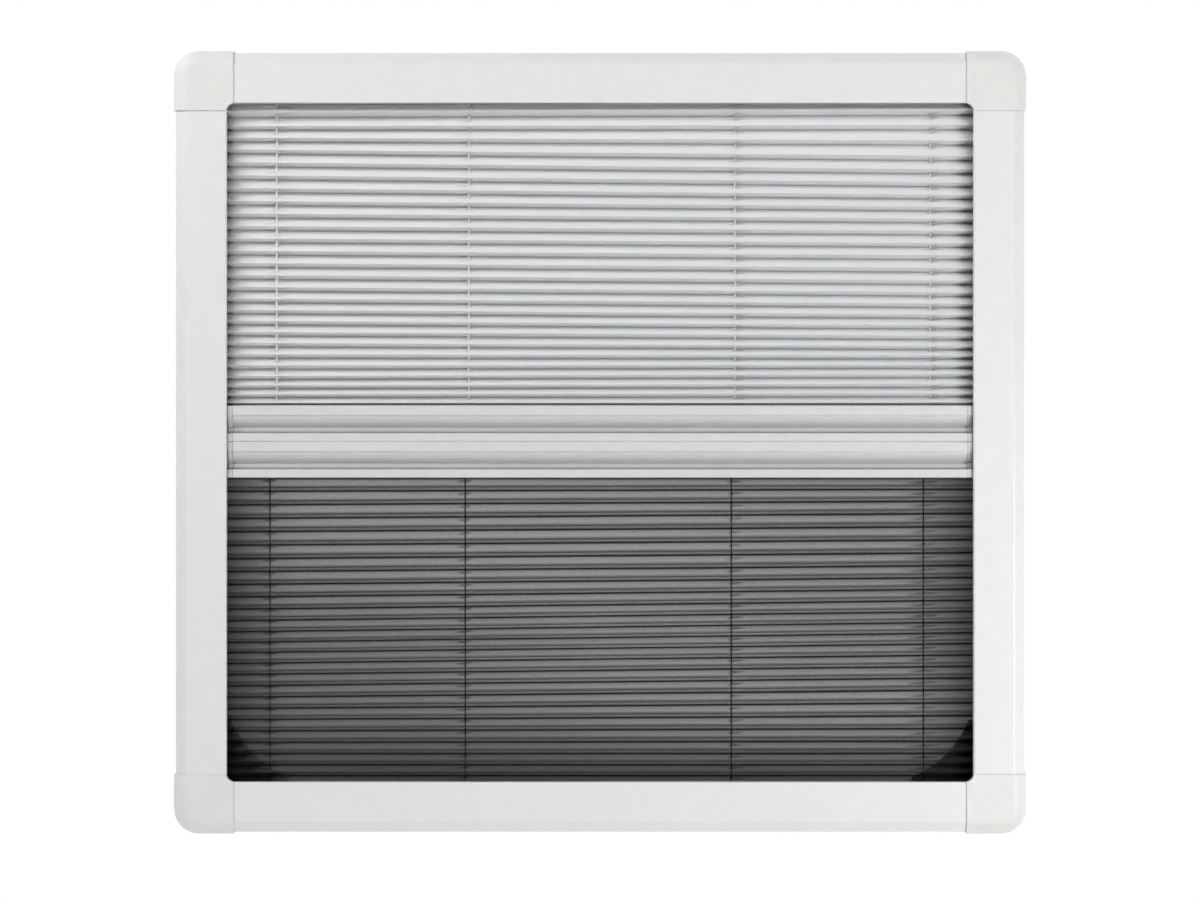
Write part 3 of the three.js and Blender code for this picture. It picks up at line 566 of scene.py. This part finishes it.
# What a finish has unless its own look says otherwise
plainLook = {
    "drift": 0.25, "metallic": 0.0, "coat": 0.0, "coatRoughness": 0.16, "dustTone": (0.55, 0.53, 0.49),
}
solidLooks = {
    "frame_profile": {
        "tone": (0.775, 0.775, 0.772), "vary": 0.006, "roughness": 0.36, "roughnessSpread": 0.05,
        "grain": 0.0011, "bump": 0.10, "bumpDepth": 0.00006, "rub": 0.25,
        "rubbedTone": (0.84, 0.84, 0.84), "dust": 0.06, "coat": 0.4,
    },
    "grip_rail": {
        "tone": (0.66, 0.664, 0.664), "vary": 0.015, "roughness": 0.34, "roughnessSpread": 0.05,
        "grain": 0.0011, "bump": 0.10, "bumpDepth": 0.00006, "rub": 0.35,
        "rubbedTone": (0.74, 0.74, 0.74), "dust": 0.06,
        # painted shade in the groove, by the depth behind the front
        "coat": 0.3, "grime": 0.55, "grimeDepths": (-0.0229, -0.0195), "grimeTone": (0.38, 0.38, 0.375),
    },
    "corner_cap": {
        "tone": (0.755, 0.738, 0.722), "vary": 0.012, "roughness": 0.42, "roughnessSpread": 0.04,
        "grain": 0.0005, "bump": 0.12, "bumpDepth": 0.00004, "rub": 0.3, "drift": 0.03,
        "rubbedTone": (0.86, 0.85, 0.84), "dust": 0.05,
    },
    "connector_plastic": {
        "tone": (0.66, 0.66, 0.635), "vary": 0.04, "roughness": 0.5, "roughnessSpread": 0.06,
        "grain": 0.0008, "bump": 0.15, "bumpDepth": 0.00006, "rub": 0.3, "drift": 0.03,
        "rubbedTone": (0.74, 0.74, 0.72), "dust": 0.15,
    },
    "gusset_plastic": {
        "tone": (0.028, 0.028, 0.03), "vary": 0.2, "roughness": 0.5, "roughnessSpread": 0.08,
        "grain": 0.0006, "bump": 0.2, "bumpDepth": 0.00006, "rub": 0.4, "drift": 0.03,
        "rubbedTone": (0.09, 0.09, 0.09), "dust": 0.12,
    },
    "rivet": {
        "tone": (0.62, 0.63, 0.64), "vary": 0.1, "roughness": 0.3, "roughnessSpread": 0.1,
        "grain": 0.0003, "bump": 0.25, "bumpDepth": 0.00004, "rub": 0.4, "drift": 0.004,
        "rubbedTone": (0.8, 0.8, 0.8), "dust": 0.05, "metallic": 1.0,
    },
    "glide_plastic": {
        "tone": (0.60, 0.622, 0.603), "vary": 0.05, "roughness": 0.45, "roughnessSpread": 0.06,
        "grain": 0.0006, "bump": 0.15, "bumpDepth": 0.00005, "rub": 0.45, "drift": 0.02,
        "rubbedTone": (0.70, 0.72, 0.70), "dust": 0.08,
    },
    "inner_plastic": {
        "tone": (0.7, 0.7, 0.68), "vary": 0.04, "roughness": 0.5, "roughnessSpread": 0.06,
        "grain": 0.0007, "bump": 0.15, "bumpDepth": 0.00005, "rub": 0.3, "drift": 0.04,
        "rubbedTone": (0.78, 0.78, 0.76), "dust": 0.12,
    },
}
finishes = {slot: solidFinish(slot, look) for slot, look in solidLooks.items()}

# Blackout cloth: pearl-coated polyester towards the room, aluminised towards the window
blackoutLook = {
    "tone": (0.836, 0.846, 0.857), "threadTone": (0.732, 0.741, 0.753), "pitch": 0.00028,
    "roughness": 0.48, "sheen": 0.25, "bump": 0.35, "bumpDepth": 0.00005,
    "roughnessSpread": 0.06, "grain": 0.004, "drift": 0.12, "driftDepth": 0.25,
    "backTone": (0.76, 0.765, 0.77), "backThreadShare": 0.85, "backRoughness": 0.42, "backMetal": 0.45,
    # Painted shade and painted light: panels that face down are painted darker, those that face up paler
    "paintedPanelShares": (0.88, 1.07), "paintedPanelSoftness": 0.2,
}


def blackoutFinish(name, tone, threadTone, roughness, metallic, sheen):
    material, tree, shader = startMaterial(name, roughness)
    weave = placed(tree, weaveGroup, Pitch=blackoutLook["pitch"])
    skin = placed(tree, skinGroup, Grain_Size=blackoutLook["grain"], Drift_Size=blackoutLook["drift"])
    # painted shade on the panels that face down, painted light on those that face up
    turn = placed(tree, paintedPanelShadeGroup, Softness=blackoutLook["paintedPanelSoftness"]).outputs["Mask"]
    cloth, thread = (
        blended(tree, turn, *(tuple(share * c for c in shade) for share in blackoutLook["paintedPanelShares"]))
        for shade in (tone, threadTone)
    )
    colour = blended(tree, weave.outputs["Thread"], cloth, thread)
    drift = ranged(tree, skin.outputs["Drift"], (0.0, blackoutLook["driftDepth"]))
    tree.links.new(blended(tree, drift, colour, thread), shader.inputs["Base Color"])
    spread = blackoutLook["roughnessSpread"]
    rough = ranged(tree, skin.outputs["Speck"], (roughness - spread, roughness + spread))
    tree.links.new(rough, shader.inputs["Roughness"])
    normal = bumped(tree, weave.outputs["Height"], blackoutLook["bump"], blackoutLook["bumpDepth"])
    tree.links.new(normal, shader.inputs["Normal"])
    shader.inputs["Metallic"].default_value = metallic
    shader.inputs["Sheen Weight"].default_value = sheen
    return material


blackoutFront = blackoutFinish(
    "blackoutFront", blackoutLook["tone"], blackoutLook["threadTone"],
    blackoutLook["roughness"], 0.0, blackoutLook["sheen"],
)
blackoutBack = blackoutFinish(
    "blackoutBack", blackoutLook["backTone"],
    tuple(blackoutLook["backThreadShare"] * c for c in blackoutLook["backTone"]),
    blackoutLook["backRoughness"], blackoutLook["backMetal"], 0.0,
)

# Insect screen: dark coated wire, open between the wires
screenLook = {
    "tone": (0.022, 0.0215, 0.021), "paleTone": (0.045, 0.045, 0.045), "pitch": 0.00115, "wireShare": 0.145,
    "roughness": 0.55, "specular": 0.3, "bump": 0.5, "bumpDepth": 0.00012, "grain": 0.003, "drift": 0.05,
    "crease": 0.24,         # share of a panel beside each fold that painted shade closes
    "leastFacing": 0.22,    # below it a slanted panel closes no further
}


def screenFinish():
    material, tree, shader = startMaterial("screenMesh", screenLook["roughness"])
    shader.inputs["Specular IOR Level"].default_value = screenLook["specular"]
    mesh = placed(tree, gridGroup, Pitch=screenLook["pitch"], Wire_Share=screenLook["wireShare"])
    weight = tree.nodes.new("ShaderNodeLayerWeight")
    weight.inputs["Blend"].default_value = 0.5      # there, Facing is 1 less the slant's cosine
    facing = mathNode(tree, "SUBTRACT", 1.0, weight.outputs["Facing"])
    slant = mathNode(tree, "DIVIDE", 1.0, mathNode(tree, "MAXIMUM", facing, screenLook["leastFacing"]))
    tree.links.new(slant, mesh.inputs["Slant"])
    crease = placed(tree, paintedFoldShadeGroup, Share=screenLook["crease"])
    skin = placed(tree, skinGroup, Grain_Size=screenLook["grain"], Drift_Size=screenLook["drift"])
    colour = blended(tree, skin.outputs["Speck"], screenLook["tone"], screenLook["paleTone"])
    tree.links.new(colour, shader.inputs["Base Color"])
    # painted shade beside the folds closes the mesh to its dark wire
    covered = mathNode(tree, "MAXIMUM", mesh.outputs["Cover"], crease.outputs["Mask"])
    tree.links.new(covered, shader.inputs["Alpha"])
    normal = bumped(tree, mesh.outputs["Height"], screenLook["bump"], screenLook["bumpDepth"])
    tree.links.new(normal, shader.inputs["Normal"])
    return material


screenMesh = screenFinish()

# Cords: braided polyester, with painted shade in the gaps between its strands
cordLooks = {
    "light_cord": {"tone": (0.90, 0.90, 0.90), "paintedGapShade": (0.66, 0.66, 0.66), "specular": 0.5},
    "dark_cord": {"tone": (0.013, 0.013, 0.0135), "paintedGapShade": (0.006, 0.006, 0.006), "specular": 0.12},
}
braidLook = {
    "pitch": 0.0011, "roughness": 0.7, "roughnessSpan": (0.85, 0.6), "bump": 0.6, "bumpDepth": 0.0001,
}


def cordFinish(name, look):
    material, tree, shader = startMaterial(name, braidLook["roughness"])
    shader.inputs["Specular IOR Level"].default_value = look["specular"]
    braid = placed(tree, braidGroup, Pitch=braidLook["pitch"])
    # painted shade in the braid's gaps
    colour = blended(tree, braid.outputs["Height"], look["paintedGapShade"], look["tone"])
    tree.links.new(colour, shader.inputs["Base Color"])
    rough = ranged(tree, braid.outputs["Shade"], braidLook["roughnessSpan"])
    tree.links.new(rough, shader.inputs["Roughness"])
    normal = bumped(tree, braid.outputs["Height"], braidLook["bump"], braidLook["bumpDepth"])
    tree.links.new(normal, shader.inputs["Normal"])
    return material


cordFinishes = {name: cordFinish(name, look) for name, look in cordLooks.items()}
print("finishes are made")


# Rigid pieces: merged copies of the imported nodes, with their edges rounded
roundingPlan = {
    "mergeWithin": 0.000004,    # vertices this near are one
    "flatWithin": 0.6,          # edges that bend less, in degrees, are gone
    "creaseBend": (8, 30),      # gentle bends on the room side get their slot's crease width
    "roomFacing": 0.8,          # how squarely a face must look into the room for that
    "creaseSegments": 4,
    "edgeSegments": 2,
}
rounding = {
    "frame_profile": {"width": 0.00015, "crease": 0.0004},
    "grip_rail": {"width": 0.0002, "crease": 0},
    "corner_cap": {"width": 0.0002, "crease": 0.0022},
    "connector_plastic": {"width": 0.0003, "crease": 0.0004},
    "gusset_plastic": {"width": 0.0003, "crease": 0},
    "rivet": {"width": 0.0002, "crease": 0},
    "glide_plastic": {"width": 0.00025, "crease": 0},
    "inner_plastic": {"width": 0.00015, "crease": 0},
}


def camelName(node):
    first, *others = node.split("_")
    return first + "".join(word.title() for word in others)


def pieceFrom(name, bm, materials):
    mesh = bpy.data.meshes.new(name)
    bm.to_mesh(mesh)
    bm.free()
    for material in materials:
        mesh.materials.append(material)
    piece = bpy.data.objects.new(name, mesh)
    scene.collection.objects.link(piece)
    return piece


def mergedCopy(node):
    bm = bmesh.new()
    bm.from_mesh(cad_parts[node].data)
    bmesh.ops.remove_doubles(bm, verts=bm.verts, dist=roundingPlan["mergeWithin"])
    flat = math.radians(roundingPlan["flatWithin"])
    bmesh.ops.dissolve_limit(bm, angle_limit=flat, verts=bm.verts, edges=bm.edges)
    return bm


def bentEdges(bm, least, most=180):
    low, high = math.radians(least), math.radians(most)
    return [e for e in bm.edges if len(e.link_faces) == 2 and low < e.calc_face_angle(0) < high]


def facesRoom(edge):
    return all(face.normal.y < -roundingPlan["roomFacing"] for face in edge.link_faces)


def roundEdges(bm, edges, width, segments):
    return bmesh.ops.bevel(
        bm, geom=edges, offset=width, segments=segments, profile=0.5,
        affect="EDGES", material=-1, clamp_overlap=True,
    )


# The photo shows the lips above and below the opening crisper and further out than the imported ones
lipPlan = {"packedRadius": 0.0017, "radius": 0.0006, "outward": 0.0007, "near": 0.0001}


def crisperLip(bm, edge):
    packed, radius, near = lipPlan["packedRadius"], lipPlan["radius"], lipPlan["near"]
    side = math.copysign(1, edge)
    front = min(vert.co.y for vert in bm.verts)
    for vert in bm.verts:
        away = (vert.co.z - edge) * side
        behind = vert.co.y - front
        onArc = abs(math.hypot(away - packed, behind - packed) - packed) < near
        if onArc and max(away, behind) < packed + near:
            away = lipPlan["outward"] + radius + (away - packed) * radius / packed
            behind = radius + (behind - packed) * radius / packed
        elif abs(away) < near:
            away += lipPlan["outward"]
        vert.co.z = edge + away * side
        vert.co.y = front + behind


def roundedPiece(node, slot, body, lipEdge=None):
    sizes = rounding[slot]
    bm = mergedCopy(node)
    least, most = roundingPlan["creaseBend"]
    if sizes["crease"]:
        creases = [e for e in bentEdges(bm, least, most) if facesRoom(e)]
        roundEdges(bm, creases, sizes["crease"], roundingPlan["creaseSegments"])
    if lipEdge:
        crisperLip(bm, lipEdge)
    rubbed = bm.verts.layers.float.new("rubbed")
    made = roundEdges(bm, bentEdges(bm, most), sizes["width"], roundingPlan["edgeSegments"])
    for vert in made["verts"]:
        vert[rubbed] = 1.0
    for face in bm.faces:
        face.smooth = True
    piece = pieceFrom(camelName(node), bm, [finishes[slot]])
    weighted = piece.modifiers.new("evenShade", "WEIGHTED_NORMAL")
    weighted.keep_sharp = True
    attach(piece, body)
    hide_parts(node)


corners = ("bottom_left", "bottom_right", "top_right", "top_left")
sides = ("top", "bottom", "left", "right")
railBodies = {"blackout": "upper_rail", "screen": "lower_rail"}


def addFramePieces():
    lipEdges = {"top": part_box("profile_top")[0].z, "bottom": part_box("profile_bottom")[1].z}
    for side in sides:
        roundedPiece(f"profile_{side}", "frame_profile", "frame", lipEdges.get(side))
    for corner in corners:
        roundedPiece(f"corner_cap_{corner}", "corner_cap", "frame")
        roundedPiece(f"corner_connector_{corner}", "connector_plastic", "frame")
        roundedPiece(f"corner_gusset_{corner}", "gusset_plastic", "frame")
        roundedPiece(f"gusset_rivet_{corner}", "rivet", "frame")
    for strip in ("head_strip", "sill_strip"):
        roundedPiece(strip, "inner_plastic", "frame")


def addRailPieces():
    for rail, body in railBodies.items():
        roundedPiece(f"{rail}_rail", "grip_rail", body)
        roundedPiece(f"{rail}_rail_strip", "inner_plastic", body)
        for side in ("left", "right"):
            roundedPiece(f"{rail}_rail_glide_{side}", "glide_plastic", body)
            roundedPiece(f"{rail}_rail_cord_guide_{side}", "inner_plastic", body)


addFramePieces()
print("frame pieces are made")
addRailPieces()
print("rails are made")

# Cords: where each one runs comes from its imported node
cordNames = ("cord_outer_left", "cord_inner_left", "cord_inner_right", "cord_outer_right")
cordShape = {
    "sides": 12,
    "radius": 0.00065,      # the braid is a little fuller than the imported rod
    "endTurn": 0.5,         # faces turned further up or down than this are its ends
}


def cordAxis(node):
    low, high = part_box(node)
    middle = (low + high) / 2
    return Vector((middle.x, middle.y, low.z)), Vector((middle.x, middle.y, high.z))


def wrapCord(bm, axis):
    uv = bm.loops.layers.uv.new("UVMap")
    for face in bm.faces:
        centre = face.calc_center_median() - axis
        middle = math.atan2(centre.y, centre.x) / (2 * math.pi)
        for loop in face.loops:
            out = loop.vert.co - axis
            turn = math.atan2(out.y, out.x) / (2 * math.pi)
            loop[uv].uv = (turn + round(middle - turn), loop.vert.co.z)


def cordRun(node, slot):
    foot, top = cordAxis(node)
    bm = bmesh.new()
    ring = bmesh.ops.create_circle(bm, segments=cordShape["sides"], radius=cordShape["radius"], cap_ends=True)
    bmesh.ops.translate(bm, vec=foot, verts=ring["verts"])
    made = bmesh.ops.extrude_face_region(bm, geom=bm.faces[:])
    risen = [g for g in made["geom"] if isinstance(g, bmesh.types.BMVert)]
    bmesh.ops.translate(bm, vec=top - foot, verts=risen)
    bmesh.ops.recalc_face_normals(bm, faces=bm.faces)
    for face in bm.faces:
        face.smooth = abs(face.normal.z) < cordShape["endTurn"]
    wrapCord(bm, foot)
    piece = pieceFrom(camelName(node), bm, [cordFinishes[slot]])
    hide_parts(node)
    return piece, foot, top


# The run inside a rail lies level, so its map follows x and the way its faces look
def crossingRun(node, body):
    bm = mergedCopy(node)
    uv = bm.loops.layers.uv.new("UVMap")
    for face in bm.faces:
        face.smooth = True
        turn = math.atan2(face.normal.z, face.normal.y) / (2 * math.pi)
        for loop in face.loops:
            loop[uv].uv = (turn, loop.vert.co.x + loop.vert.co.z)
    piece = pieceFrom(camelName(node), bm, [cordFinishes["dark_cord"]])
    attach(piece, body)
    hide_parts(node)


# Of a cord's two runs, the one that gets shorter hangs on the frame with a mesh of its own, and the other has
# its place baked into its mesh
def addCords():
    for name in cordNames:
        joint, body = ("blackout_slide", "upper_rail") if "outer" in name else ("screen_slide", "lower_rail")
        upper, upperFoot, upperTop = cordRun(f"{name}_upper", "light_cord")
        lower, lowerFoot, lowerTop = cordRun(f"{name}_lower", "dark_cord")
        above, below = (upper, upperTop, upperFoot), (lower, lowerFoot, lowerTop)
        shortening, stretching = (above, below) if joint == "blackout_slide" else (below, above)
        piece, fixed, free = shortening
        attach(piece, "frame")
        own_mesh(piece)
        piece, fixed, free = stretching
        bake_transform(piece)
        for fitting in ("anchor", "tensioner"):
            roundedPiece(f"{name}_{fitting}", "inner_plastic", "frame")
        crossingRun(f"{name}_crossing", body)


addCords()
print("cords are made")

# Pleated cloths. A fold line is a place (height, depth); a panel runs between two of them
clothPlan = {
    "foldInset": 0.0006,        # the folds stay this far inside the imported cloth's front and back
    "columnPitch": 0.017,
    "holeRadius": 0.00095,
    "holeSteps": (-1.0, -0.5, 0.0, 0.5, 1.0),   # rows and columns through a cord's hole, in radii
    "holeClear": 2.5,           # other columns keep this many radii away
    "holeSlack": 0.01,          # a vertex this near a hole's edge, in radii, is on it
    "rowsAboveHole": 2,
    "tailHalfWidth": 0.3177,    # the held ends stop short of the end glides
    "railGap": (0.0009, 0.0003),    # the valley beside a rail and the cloth's edge over its slot
    "limitGap": 0.00035,        # the same edge over the slot when the rail is all the way out
    "leanFrom": (-0.08, 0.3225),    # the pleats lean about this x, by their plan's lean this far from it
    # Two waves of the folds: bends a metre, change from fold to fold, place in the noise, share
    "waves": ((4.5, 0.61, 0, 1.0), (17.0, 1.7, 5, 0.45)),
    "swayShare": 0.4,           # how much a fold waves in depth beside in height
    "tailSlack": 0.0001,
}
blackoutPlan = {
    "slot": "blackout_cloth", "width": 0.661, "pleats": 27, "thickness": 0.0003,
    "frameEnd": 0.3032,         # level of the cloth's end at the head
    "spacing": (1.115, 1.135, 1.055, 1.063, 0.939, 0.903, 0.732),   # pleat heights from top to bottom
    "ridgeShare": 0.655,        # how far down in a pleat its ridge shows
    # How far the pleats sink towards the right, from top to bottom
    "lean": (-0.002, -0.0006, 0.0033, 0.0033, 0.0023, 0.002, 0.0025, 0.0022, 0.0016, -0.001, 0.0),
    "odd": {1: (0.0035, 0.52)},     # the first pleat under the head: how far forward, and its ridge share
    "bow": (1.35, 1.0),         # of panels that face up, and down: 1 is flat, more bulges outwards
    "wobble": 0.00016, "seed": 3.0,
}
screenPlan = {
    "slot": "screen_mesh", "width": 0.661, "pleats": 26, "thickness": 0.00025,
    "frameEnd": -0.2965,        # level of the cloth's end at the sill
    "spacing": (1.073, 1.138, 1.015, 0.875, 0.986, 1.007, 0.893),
    "ridgeShare": 0.69,
    "lean": (0.0, -0.002, -0.0023, -0.0026, -0.0036, -0.0043, -0.0036, -0.0033, -0.0013, 0.0, 0.0),
    "odd": {},
    "bow": (1.25, 1.0),
    "wobble": 0.00024, "seed": 17.0,
}


# The value that a plan's steps give at a share of the way from top to bottom
def stepped(steps, share):
    place = share * (len(steps) - 1)
    index = min(int(place), len(steps) - 2)
    return steps[index] + (steps[index + 1] - steps[index]) * (place - index)


def foldLevels(top, bottom, plan):
    heights = [stepped(plan["spacing"], index / (plan["pleats"] - 1)) for index in range(plan["pleats"])]
    levels = [top]
    for height in heights:
        levels.append(levels[-1] + (bottom - top) * height / sum(heights))
    return levels


# The levels hold for the frame's front; a line further back lies a little wider
def leveled(seen, depth):
    reach = (cameraPlan["distance"] + depth - cadLow.y) / cameraPlan["distance"]
    return (seen + cameraPlan["aimBelow"]) * reach - cameraPlan["aimBelow"]


def foldLines(levels, front, back, plan):
    lines = []
    for pleat, (upper, lower) in enumerate(zip(levels, levels[1:])):
        if lines:
            lines.append((leveled(upper, back), back))
        ahead, share = plan["odd"].get(pleat, (0, plan["ridgeShare"]))
        ridge = front - ahead
        lines.append((leveled(upper + (lower - upper) * share, ridge), ridge))
    valley, edge = clothPlan["railGap"]
    if plan["frameEnd"] > 0:
        return [*lines, (levels[-1] + valley, back), (levels[-1] + edge, front)]
    return [(levels[0] - edge, front), (levels[0] - valley, back), *lines]


def clothColumns(halfWidth, cords):
    columns = {-halfWidth, halfWidth, -clothPlan["tailHalfWidth"], clothPlan["tailHalfWidth"]}
    count = round(2 * halfWidth / clothPlan["columnPitch"])
    near = clothPlan["holeClear"] * clothPlan["holeRadius"]
    for step in range(1, count):
        x = -halfWidth + 2 * halfWidth * step / count
        if all(abs(x - cord.x) > near for cord in cords):
            columns.add(x)
    for cord in cords:
        columns.update(cord.x + step * clothPlan["holeRadius"] for step in clothPlan["holeSteps"])
    return sorted(columns)


def depthAt(x, cords):
    if x <= cords[0].x:
        return cords[0].y
    for left, right in zip(cords, cords[1:]):
        if x <= right.x:
            return left.y + (right.y - left.y) * (x - left.x) / (right.x - left.x)
    return cords[-1].y


# Where the rows of a panel lie at x, from 0 at its first fold to 1 at its second
def panelRows(x, cords, first, second):
    span = second[1] - first[1]
    middle = (depthAt(x, cords) - first[1]) / span
    reach = clothPlan["holeRadius"] / abs(span)
    hole = [middle + step * reach for step in clothPlan["holeSteps"]]
    # Two rows stand above the hole's own, which is the plan's rowsAboveHole
    return [0.0, hole[0] / 2, *hole, (1 + hole[-1]) / 2], middle, reach


def wave(x, fold, plan):
    swing = 0.0
    for perMetre, perFold, shift, share in clothPlan["waves"]:
        swing += share * noise.noise(Vector((x * perMetre, fold * perFold, plan["seed"] + shift)))
    return plan["wobble"] * swing


def leanAt(x, level, levels, plan):
    share = (levels[0] - level) / (levels[0] - levels[-1])
    middle, reach = clothPlan["leanFrom"]
    return stepped(plan["lean"], min(max(share, 0.0), 1.0)) * (x - middle) / reach


# Each vertex of the flat grid by its column, its panel and its row in the panel
def gridPlaces(bm, columnCount, panels, rowsPerPanel):
    places = {}
    for vert in bm.verts:
        column = round((vert.co.x + 0.5) * (columnCount - 1))
        row = round((0.5 - vert.co.y) * panels * rowsPerPanel)
        panel = min(row // rowsPerPanel, panels - 1)
        places[vert] = (column, panel, row - panel * rowsPerPanel)
    return places


# A vertex's x and its share of the way down its panel; round a cord's hole it moves onto the circle
def onPanel(x, row, cords, first, second):
    rows, middle, reach = panelRows(x, cords, first, second)
    share = rows[row] if row < len(rows) else 1.0
    cord = min(cords, key=lambda place: abs(place.x - x))
    across = (x - cord.x) / clothPlan["holeRadius"]
    down = (share - middle) / reach
    if abs(max(abs(across), abs(down)) - 1) < clothPlan["holeSlack"]:
        length = math.hypot(across, down)
        x = cord.x + clothPlan["holeRadius"] * across / length
        share = middle + reach * down / length
    return x, share


# Where a vertex hangs: on its bowed panel, leaning and waving; a held end, or tail, is straight
def hungPlace(x, share, panel, isTail, first, second, levels, plan):
    bow = 1.0 if isTail else plan["bow"][panel % 2]
    drop = (second[0] - first[0]) * share ** bow
    lean = leanAt(x, first[0] + drop, levels, plan)
    swing = wave(x, panel, plan) * (1 - share) + wave(x, panel + 1, plan) * share
    if isTail:
        lean *= share if panel == 0 else 1 - share
        swing = 0.0
    depth = first[1] + (second[1] - first[1]) * share + clothPlan["swayShare"] * swing
    return x, depth, first[0] + drop - lean + swing


# Faces that go: those in a cord's hole, and those beside the narrower held ends
def isHole(found, columns, cords, panels):
    panel = min(place[1] for place in found)
    if any(place[1] != panel for place in found):
        return False
    xs = [columns[place[0]] for place in found]
    if panel in (0, panels - 1):
        return any(abs(x) > clothPlan["tailHalfWidth"] + clothPlan["tailSlack"] for x in xs)
    above = clothPlan["rowsAboveHole"]
    inRows = all(above <= place[2] < above + len(clothPlan["holeSteps"]) for place in found)
    reach = clothPlan["holeRadius"] * (1 + clothPlan["holeSlack"])
    return inRows and any(all(abs(x - cord.x) < reach for x in xs) for cord in cords)


def pleatedCloth(node, name, plan, levels, cords, materials):
    low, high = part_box(node)
    front, back = low.y + clothPlan["foldInset"], high.y - clothPlan["foldInset"]
    lines = [(high.z, front), *foldLines(levels, front, back, plan), (low.z, front)]
    run = [0.0]
    for first, second in zip(lines, lines[1:]):
        run.append(run[-1] + math.hypot(second[0] - first[0], second[1] - first[1]))
    columns = clothColumns(high.x, cords)
    panels = len(lines) - 1
    rowsPerPanel = len(panelRows(0.0, cords, lines[1], lines[2])[0])
    bm = bmesh.new()
    bmesh.ops.create_grid(bm, x_segments=len(columns) - 1, y_segments=panels * rowsPerPanel, size=0.5)
    foldCount = bm.verts.layers.float.new("foldCount")
    uv = bm.loops.layers.uv.new("UVMap")
    places = gridPlaces(bm, len(columns), panels, rowsPerPanel)
    flatSpots = {}
    for vert, (column, panel, row) in places.items():
        ends = lines[panel:panel + 2]
        isTail = panel in (0, panels - 1)
        x, share = columns[column], row / rowsPerPanel
        if not isTail:
            x, share = onPanel(x, row, cords, *ends)
        vert.co = hungPlace(x, share, panel, isTail, *ends, levels, plan)
        vert[foldCount] = panel + share
        flatSpots[vert] = (x, run[panel] + (run[panel + 1] - run[panel]) * share)
    for face in bm.faces:
        face.smooth = True
        for loop in face.loops:
            loop[uv].uv = flatSpots[loop.vert]
    for edge in bm.edges:
        if all(places[v][2] % rowsPerPanel == 0 for v in edge.verts):
            edge.smooth = False
    holes = [f for f in bm.faces if isHole([places[v] for v in f.verts], columns, cords, panels)]
    bmesh.ops.delete(bm, geom=holes, context="FACES")
    bmesh.ops.recalc_face_normals(bm, faces=bm.faces)
    if sum(f.normal.y * f.calc_area() for f in bm.faces) > 0:
        bmesh.ops.reverse_faces(bm, faces=bm.faces)
    piece = pieceFrom(name, bm, materials)
    thick = piece.modifiers.new("thickness", "SOLIDIFY")
    thick.thickness = plan["thickness"]
    thick.offset = 0
    thick.material_offset = len(materials) - 1
    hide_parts(node)
    return piece, (plan["width"], run[-1])


def cordPlaces(part):
    found = [cordAxis(f"{name}_{part}")[0] for name in cordNames]
    return sorted(found, key=lambda place: place.x)


def addBlackout():
    cords = cordPlaces("upper")
    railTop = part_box("blackout_rail")[1].z
    levels = foldLevels(blackoutPlan["frameEnd"], railTop, blackoutPlan)
    cloth, flat = pleatedCloth(
        "blackout_cloth", "blackoutCloth", blackoutPlan, levels, cords, [blackoutFront, blackoutBack],
    )
    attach(cloth, "frame")
    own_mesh(cloth)
    print("blackout cloth, flat:", [round(side, 4) for side in flat])


def addScreen():
    cords = cordPlaces("lower")
    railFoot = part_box("screen_rail")[0].z
    levels = foldLevels(railFoot, screenPlan["frameEnd"], screenPlan)
    cloth, flat = pleatedCloth("insect_screen", "insectScreen", screenPlan, levels, cords, [screenMesh])
    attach(cloth, "frame")
    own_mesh(cloth)
    print("insect screen, flat:", [round(side, 4) for side in flat])


addBlackout()
print("blackout cloth is made")
addScreen()
print("insect screen is made")
